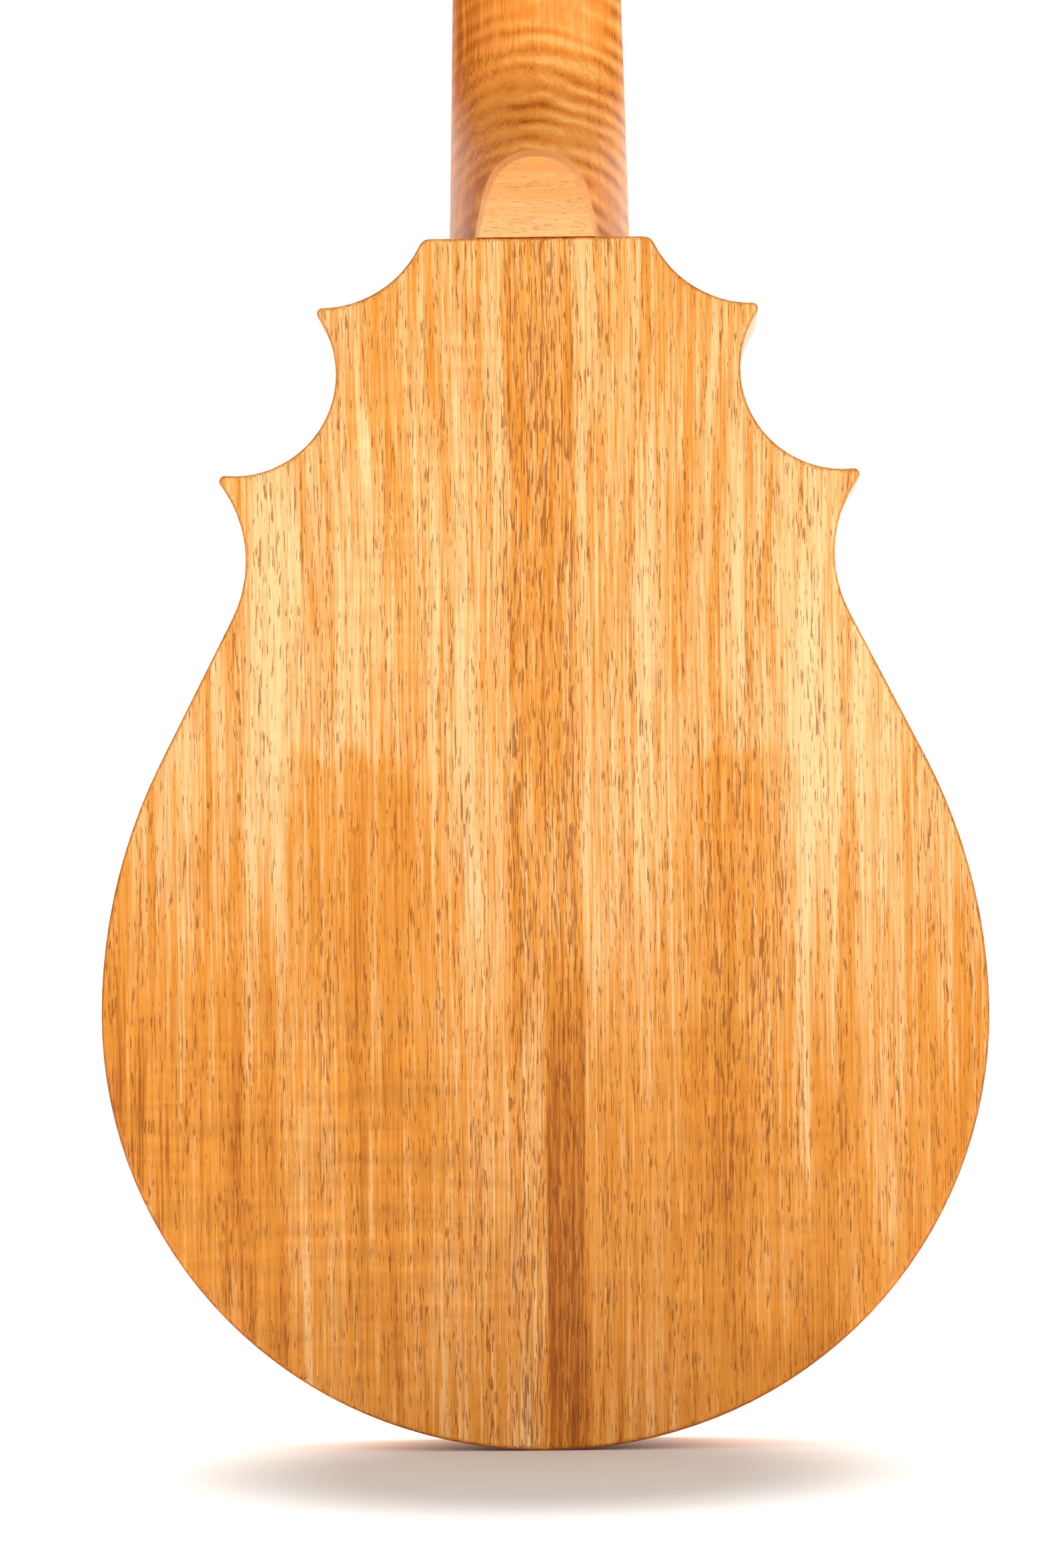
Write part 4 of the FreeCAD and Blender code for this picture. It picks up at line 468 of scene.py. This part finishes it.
def heel_cap_wood():
    """Pale, finely speckled timber whose grain runs from side to side."""
    made, tree, shader = new_material("pale cap wood", **SATIN)
    low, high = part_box("heel_cap")
    x, y, z = split(tree, here(tree))[:3]
    place = join(tree, calc(tree, "ADD", z, 1.1), y, calc(tree, "MULTIPLY", x, 2.0))
    tone = eased(tree, z, low.z, high.z, 0.74, 0.52)
    timber(tree, shader, place, Tone=tone, Light=rgb(0.88, 0.45, 0.19),
           Middle=rgb(0.78, 0.31, 0.09), Dark=rgb(0.50, 0.15, 0.03), Streaks=0.36, Threads=0.16,
           Pores=0.4, Crowding=0.6)
    return made


def plain_wood(name, finish, place, **looks):
    """A timber that is alike all over; place gives the point in the timber's own grain."""
    made, tree, shader = new_material(name, **finish)
    timber(tree, shader, place(tree), **looks)
    return made


def along_rim(tree):
    """A bent rib's grain runs round the body, so it varies across the body's depth."""
    x, y, z = split(tree, here(tree))[:3]
    return join(tree, y, 0.0, calc(tree, "MULTIPLY_ADD", x, 0.7, z))


def shifted(distance):
    """Grain along the body, cut from another place in the timber."""
    return lambda tree: moved(tree, here(tree), (distance, 0.0, 0.0))


def across_body(tree):
    """Grain that runs from side to side, as in the braces."""
    x, y, z = split(tree, here(tree))[:3]
    return join(tree, z, y, x)


def make_woods():
    return {
        "back_wood": back_wood(),
        "neck_wood": neck_wood(),
        "heel_cap_wood": heel_cap_wood(),
        "rib_wood": plain_wood(
            "rib wood", GLOSS, along_rim, Tone=0.5, Light=rgb(0.95, 0.54, 0.19),
            Middle=rgb(0.76, 0.29, 0.055), Dark=rgb(0.38, 0.10, 0.010), Streaks=0.6, Threads=0.35,
            Pores=0.8, Crowding=0.35, Ripple=0.35),
        "soundboard": plain_wood(
            "soundboard spruce", GLOSS, shifted(0.2), Tone=0.62, Light=rgb(0.80, 0.54, 0.26),
            Middle=rgb(0.68, 0.40, 0.16), Dark=rgb(0.44, 0.21, 0.06), Streaks=0.35, Threads=0.45,
            Pores=0.0, Ripple=0.08),
        "brace_spruce": plain_wood(
            "brace spruce", BARE, across_body, Tone=0.7, Light=rgb(0.88, 0.70, 0.44),
            Middle=rgb(0.78, 0.56, 0.32), Dark=rgb(0.56, 0.36, 0.17), Streaks=0.3,
            Threads=0.35, Pores=0.0),
        "inner_mahogany": plain_wood(
            "block mahogany", BARE, shifted(0.7), Tone=0.55, Light=rgb(0.50, 0.22, 0.10),
            Middle=rgb(0.36, 0.14, 0.06), Dark=rgb(0.16, 0.055, 0.022), Streaks=0.4,
            Threads=0.3, Pores=0.8),
        "ebony": plain_wood(
            "ebony", {"Coat_Weight": 0.12, "Coat_Roughness": 0.4}, shifted(0.9), Tone=0.4,
            Light=rgb(0.060, 0.038, 0.026), Middle=rgb(0.026, 0.017, 0.012),
            Dark=rgb(0.008, 0.006, 0.005), Streaks=0.6, Threads=0.3, Pores=0.5),
    }


# ---- metals, bone, pearl ------------------------------------------------------------------------
NICKEL = rgb(0.52, 0.50, 0.46)
BRASS = rgb(0.78, 0.55, 0.22)
BRONZE = rgb(0.66, 0.40, 0.18)
BRONZE_SHADE = rgb(0.22, 0.12, 0.05)  # painted shade in the grooves between the turns of the winding
TARNISH = 0.72  # a smudge's brightness against the clean metal
SMUDGE_SHARE = 0.35


def handled(tree, shader, clean, worn):
    """Smudged roughness on a polished face, from clean to worn; returns where the smudges are."""
    marks = put_group(tree, HANDLING, {"Place": here(tree), "Clean": clean, "Worn": worn})
    tree.links.new(marks["Roughness"], shader.inputs["Roughness"])
    return marks["Mask"]


def metal(name, colour, clean, worn):
    made, tree, shader = new_material(name, Metallic=1.0)
    smudges = calc(tree, "MULTIPLY", handled(tree, shader, clean, worn), SMUDGE_SHARE)
    tarnished = rgb(*(part * TARNISH for part in colour[:3]))
    tree.links.new(mix(tree, smudges, colour, tarnished), shader.inputs["Base Color"])
    return made


def pearl_colour(tree, place):
    """Soft cells and drifts between warm cream, white and a cool grey."""
    cells = node(tree, "ShaderNodeTexVoronoi", {"Vector": place, "Scale": 210.0, "Randomness": 1.0},
                 feature="SMOOTH_F1")
    drift = noise(tree, place, 160.0, 3.0, distortion=1.4)
    shade = calc(tree, "ADD", calc(tree, "MULTIPLY", cells.outputs["Distance"], 0.7),
                 calc(tree, "MULTIPLY", drift, 0.5))
    return ramp(tree, shade, [(0.15, rgb(0.62, 0.60, 0.52)), (0.42, rgb(0.84, 0.82, 0.74)),
                              (0.62, rgb(0.90, 0.89, 0.83)), (0.9, rgb(0.70, 0.74, 0.72))])


def pearl():
    made, tree, shader = new_material("pearl", Coat_Weight=0.7, Coat_Roughness=0.08)
    tree.links.new(pearl_colour(tree, here(tree)), shader.inputs["Base Color"])
    handled(tree, shader, 0.18, 0.34)
    return made


COLLAR_END = 0.0365  # from the middle of the headstock to where a button leaves its collar


def tuner_button_material():
    """Pearly button outside its collar, plated shaft and worm inside."""
    made, tree, shader = new_material("button and worm", Coat_Roughness=0.08)
    away = calc(tree, "ABSOLUTE", split(tree, here(tree))[0])
    button = calc(tree, "GREATER_THAN", away, COLLAR_END)
    colour = mix(tree, button, NICKEL, pearl_colour(tree, here(tree)))
    tree.links.new(colour, shader.inputs["Base Color"])
    tree.links.new(calc(tree, "SUBTRACT", 1.0, button), shader.inputs["Metallic"])
    tree.links.new(calc(tree, "MULTIPLY", button, 0.7), shader.inputs["Coat Weight"])
    handled(tree, shader, 0.16, 0.36)
    return made


def bone():
    made, tree, shader = new_material("bone", Subsurface_Weight=0.08)
    streak = noise(tree, scaled(tree, here(tree), (120.0, 700.0, 900.0)), detail=3.0)
    colour = ramp(tree, streak, [(0.3, rgb(0.70, 0.60, 0.42)), (0.6, rgb(0.84, 0.77, 0.62))])
    tree.links.new(colour, shader.inputs["Base Color"])
    tree.links.new(eased(tree, streak, 0.2, 0.8, 0.28, 0.42), shader.inputs["Roughness"])
    return made


RING_WIDTH = 0.005  # from the outer edge of the rosette inwards


def rosette_material():
    """Rings of dark, pale and red-brown wood about the sound hole."""
    made, tree, shader = new_material("rosette rings", Coat_Weight=0.55, Coat_Roughness=0.16)
    low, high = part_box("rosette")
    x, y, z = split(tree, moved(tree, here(tree), -(low + high) / 2))[:3]
    inner = (high.x - low.x) / 2 - RING_WIDTH
    beyond = calc(tree, "SUBTRACT", length(tree, join(tree, x, 0.0, z)), inner)
    share = calc(tree, "DIVIDE", beyond, RING_WIDTH)
    dark, pale, brown = rgb(0.02, 0.012, 0.008), rgb(0.80, 0.62, 0.36), rgb(0.30, 0.10, 0.03)
    rings = ramp(tree, share, [(0.0, dark), (0.10, pale), (0.20, dark), (0.28, brown),
                               (0.72, dark), (0.80, pale), (0.90, dark)], "CONSTANT")
    grain = noise(tree, scaled(tree, here(tree), (900.0, 900.0, 90.0)), detail=2.0)
    colour = mix(tree, calc(tree, "MULTIPLY", grain, 0.35), rings, rgb(0.02, 0.02, 0.02))
    tree.links.new(colour, shader.inputs["Base Color"])
    tree.links.new(eased(tree, grain, 0.2, 0.8, 0.25, 0.4), shader.inputs["Roughness"])
    return made


def black_plate():
    made, tree, shader = new_material("black cover plate", Coat_Weight=0.4, Coat_Roughness=0.1)
    smudges = handled(tree, shader, 0.2, 0.45)
    colour = mix(tree, smudges, rgb(0.012, 0.012, 0.013), rgb(0.028, 0.027, 0.027))
    tree.links.new(colour, shader.inputs["Base Color"])
    return made


TURNS_PER_METRE = 2600.0
WINDING_DEPTH = 0.00006


def wound_string():
    """Bronze wire wound round a steel core: fine ridges along the string."""
    made, tree, shader = new_material("bronze winding", Metallic=1.0)
    height = split(tree, here(tree))[2]
    turns = calc(tree, "FRACT", calc(tree, "MULTIPLY", height, TURNS_PER_METRE))
    ridge = calc(tree, "SINE", calc(tree, "MULTIPLY", turns, math.pi))
    tree.links.new(mix(tree, ridge, BRONZE_SHADE, BRONZE), shader.inputs["Base Color"])
    tree.links.new(eased(tree, ridge, 0.0, 1.0, 0.6, 0.3), shader.inputs["Roughness"])
    bumped(tree, shader, ridge, WINDING_DEPTH)
    return made


HEAD_TILT = math.radians(15.5)  # of the headstock, back from the neck
NUT_OVER_HEAD = 0.007  # the nut's top above the line that the headstock tilts about
GEAR_DEPTH = -0.0145  # how deep behind the headstock's face the gears start


def tuner_post_material():
    """Plated post, with a brass gear behind the headstock."""
    made, tree, shader = new_material("post and gear", Metallic=1.0)
    nut_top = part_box("nut")[1]
    hinge = Vector((0, nut_top.y - NUT_OVER_HEAD, nut_top.z))
    x, y, z = split(tree, moved(tree, here(tree), -hinge))[:3]
    depth = calc(tree, "ADD", calc(tree, "MULTIPLY", y, math.cos(HEAD_TILT)),
                 calc(tree, "MULTIPLY", z, math.sin(HEAD_TILT)))
    gear = calc(tree, "LESS_THAN", depth, GEAR_DEPTH)
    tree.links.new(mix(tree, gear, NICKEL, BRASS), shader.inputs["Base Color"])
    handled(tree, shader, 0.2, 0.42)
    return made


def make_fittings():
    nickel = metal("nickel plate", NICKEL, 0.16, 0.36)
    return {
        "fret_wire": metal("fret wire", rgb(0.70, 0.69, 0.66), 0.2, 0.38),
        "pearl": pearl(),
        "bone": bone(),
        "bronze_wire": wound_string(),
        "steel_wire": metal("plain steel wire", rgb(0.68, 0.68, 0.69), 0.24, 0.38),
        "steel_rod": metal("plain steel", rgb(0.42, 0.42, 0.43), 0.35, 0.55),
        "brass_parts": metal("machined brass", BRASS, 0.2, 0.42),
        "nickel_sheet": nickel,
        "nickel_parts": nickel,
        "tuner_button": tuner_button_material(),
        "tuner_post": tuner_post_material(),
        "rosette_inlay": rosette_material(),
        "black_plate": black_plate(),
    }


def dress_nodes():
    """Each CAD node takes the finish of its material slot."""
    finishes = {**make_woods(), **make_fittings()}
    for part in frame["record"]["subparts"]:
        carrier = NODES[part["node"]]
        for slot in carrier.material_slots:
            slot.material = finishes[part["material_slot"]]


# ---- floor, light and camera ---------------------------------------------------------------------
SWEEP_START = -8.0  # along Y, behind the camera
SWEEP_FLAT_TO = 6.0
BEND_RADIUS = 1.0
BEND_STEP = 9  # degrees
WALL_HEIGHT = 6.0
SWEEP_HALF_WIDTH = 9.0
PAPER = rgb(0.78, 0.75, 0.71)
PAPER_SHADE = rgb(0.74, 0.71, 0.67)
PAINTED_PAPER_GLOW = 0.95  # painted light: the paper's own glow, though it is no lamp, away from the instrument's shadow
GLOW_COLOUR = rgb(1.0, 0.985, 0.96)
# the oval at the foot where the painted glow is left out, so that the instrument's shadow shows
# there
OVAL_MIDDLE = Vector((0.0, -0.1, 0.0))
OVAL_SQUEEZE = (1.8, 1.0, 1.0)
OVAL_INSIDE, OVAL_OUTSIDE = 0.07, 0.23


def sweep_profile():
    """The paper's height along Y: flat, then a quarter turn, then straight up."""
    level = CAD_BOX[0][2]
    bend = [math.radians(degrees) for degrees in range(BEND_STEP, 91, BEND_STEP)]
    return (
        [(SWEEP_START, level), (SWEEP_FLAT_TO, level)]
        + [(SWEEP_FLAT_TO + BEND_RADIUS * math.sin(a), level + BEND_RADIUS * (1 - math.cos(a)))
           for a in bend]
        + [(SWEEP_FLAT_TO + BEND_RADIUS, level + WALL_HEIGHT)]
    )


def paper():
    """White paper with a painted glow, though it is no lamp, except in an oval at the instrument's
    foot, on its back's side, where the instrument's shadow shows.
    """
    made, tree, shader = new_material("white paper", Roughness=0.9)
    shader.inputs["Emission Color"].default_value = GLOW_COLOUR
    place = here(tree)
    tooth = noise(tree, place, 60.0, 3.0)
    tree.links.new(mix(tree, tooth, PAPER_SHADE, PAPER), shader.inputs["Base Color"])
    from_middle = scaled(tree, moved(tree, place, -OVAL_MIDDLE), OVAL_SQUEEZE)
    outside = eased(tree, length(tree, from_middle), OVAL_INSIDE, OVAL_OUTSIDE)
    # painted light: the glow is full behind the instrument, where it hides the shadows that the
    # soft boxes throw
    beyond = eased(tree, split(tree, place)[1], 0.0, 0.06)
    glow = calc(tree, "MULTIPLY", calc(tree, "MAXIMUM", outside, beyond), PAINTED_PAPER_GLOW)
    tree.links.new(glow, shader.inputs["Emission Strength"])
    return made


def make_floor():
    """A pale sweep: flat under the instrument and curved up far beyond it."""
    profile = sweep_profile()
    points = [(x, y, z) for y, z in profile for x in (-SWEEP_HALF_WIDTH, SWEEP_HALF_WIDTH)]
    faces = [(2 * i, 2 * i + 1, 2 * i + 3, 2 * i + 2) for i in range(len(profile) - 1)]
    mesh = bpy.data.meshes.new("sweep")
    mesh.from_pydata(points, [], faces)
    for face in mesh.polygons:
        face.use_smooth = True
    sweep = bpy.data.objects.new("sweep", mesh)
    bpy.context.scene.collection.objects.link(sweep)
    mesh.materials.append(paper())


# Each light's name, place, width and height in metres, and power in watts.
LIGHTS = (
    ("left soft box", (-1.7, -1.5, 1.3), (0.9, 1.3), 13.2),
    ("right soft box", (1.5, -1.6, 0.8), (0.9, 1.4), 17.2),
    ("overhead", (0, 1.4, 2.0), (1.0, 1.0), 20.0),
)
LIT_POINT = Vector((0, 0, 0.2))
ROOM_LIGHT = 0.5


def area_light(name, place, size, power):
    light = bpy.data.lights.new(name, "AREA")
    light.shape = "RECTANGLE"
    light.size, light.size_y = size
    light.energy = power
    lamp = bpy.data.objects.new(name, light)
    lamp.location = place
    lamp.rotation_euler = (LIT_POINT - Vector(place)).to_track_quat("-Z", "Y").to_euler()
    bpy.context.scene.collection.objects.link(lamp)


def make_lights():
    for row in LIGHTS:
        area_light(*row)
    world = bpy.data.worlds.new("studio")
    world.use_nodes = True
    background = world.node_tree.nodes["Background"].inputs
    background["Color"].default_value = rgb(1, 1, 1)
    background["Strength"].default_value = ROOM_LIGHT
    bpy.context.scene.world = world
    bpy.context.scene.view_settings.view_transform = "Standard"


CAMERA_DISTANCE = 1.6
CAMERA_AZIMUTH = 1.1  # degrees, towards +X
CAMERA_ELEVATION = -2.0
CAMERA_ROLL = -0.62
VIEW_HEIGHT = 0.381  # what the camera takes in from top to bottom, at its aim
AIM = Vector((-0.0047, -0.025, 0.1616))
SENSOR_HEIGHT = 36.0


def make_camera():
    lens = bpy.data.cameras.new("camera")
    lens.sensor_width = SENSOR_HEIGHT  # the sensor's longer side, which stands upright here
    lens.lens = SENSOR_HEIGHT * CAMERA_DISTANCE / VIEW_HEIGHT
    lens.clip_start = 0.05
    camera = bpy.data.objects.new("camera", lens)
    azimuth, elevation = math.radians(CAMERA_AZIMUTH), math.radians(CAMERA_ELEVATION)
    level = math.cos(elevation)
    away = Vector((math.sin(azimuth) * level, -math.cos(azimuth) * level, math.sin(elevation)))
    camera.location = AIM + away * CAMERA_DISTANCE
    look = (-away).to_track_quat("-Z", "Y").to_matrix().to_4x4()
    roll = Matrix.Rotation(math.radians(CAMERA_ROLL), 4, "Z")
    camera.rotation_euler = (look @ roll).to_euler()
    bpy.context.scene.collection.objects.link(camera)
    bpy.context.scene.camera = camera


dress_nodes()
make_floor()
make_lights()
make_camera()
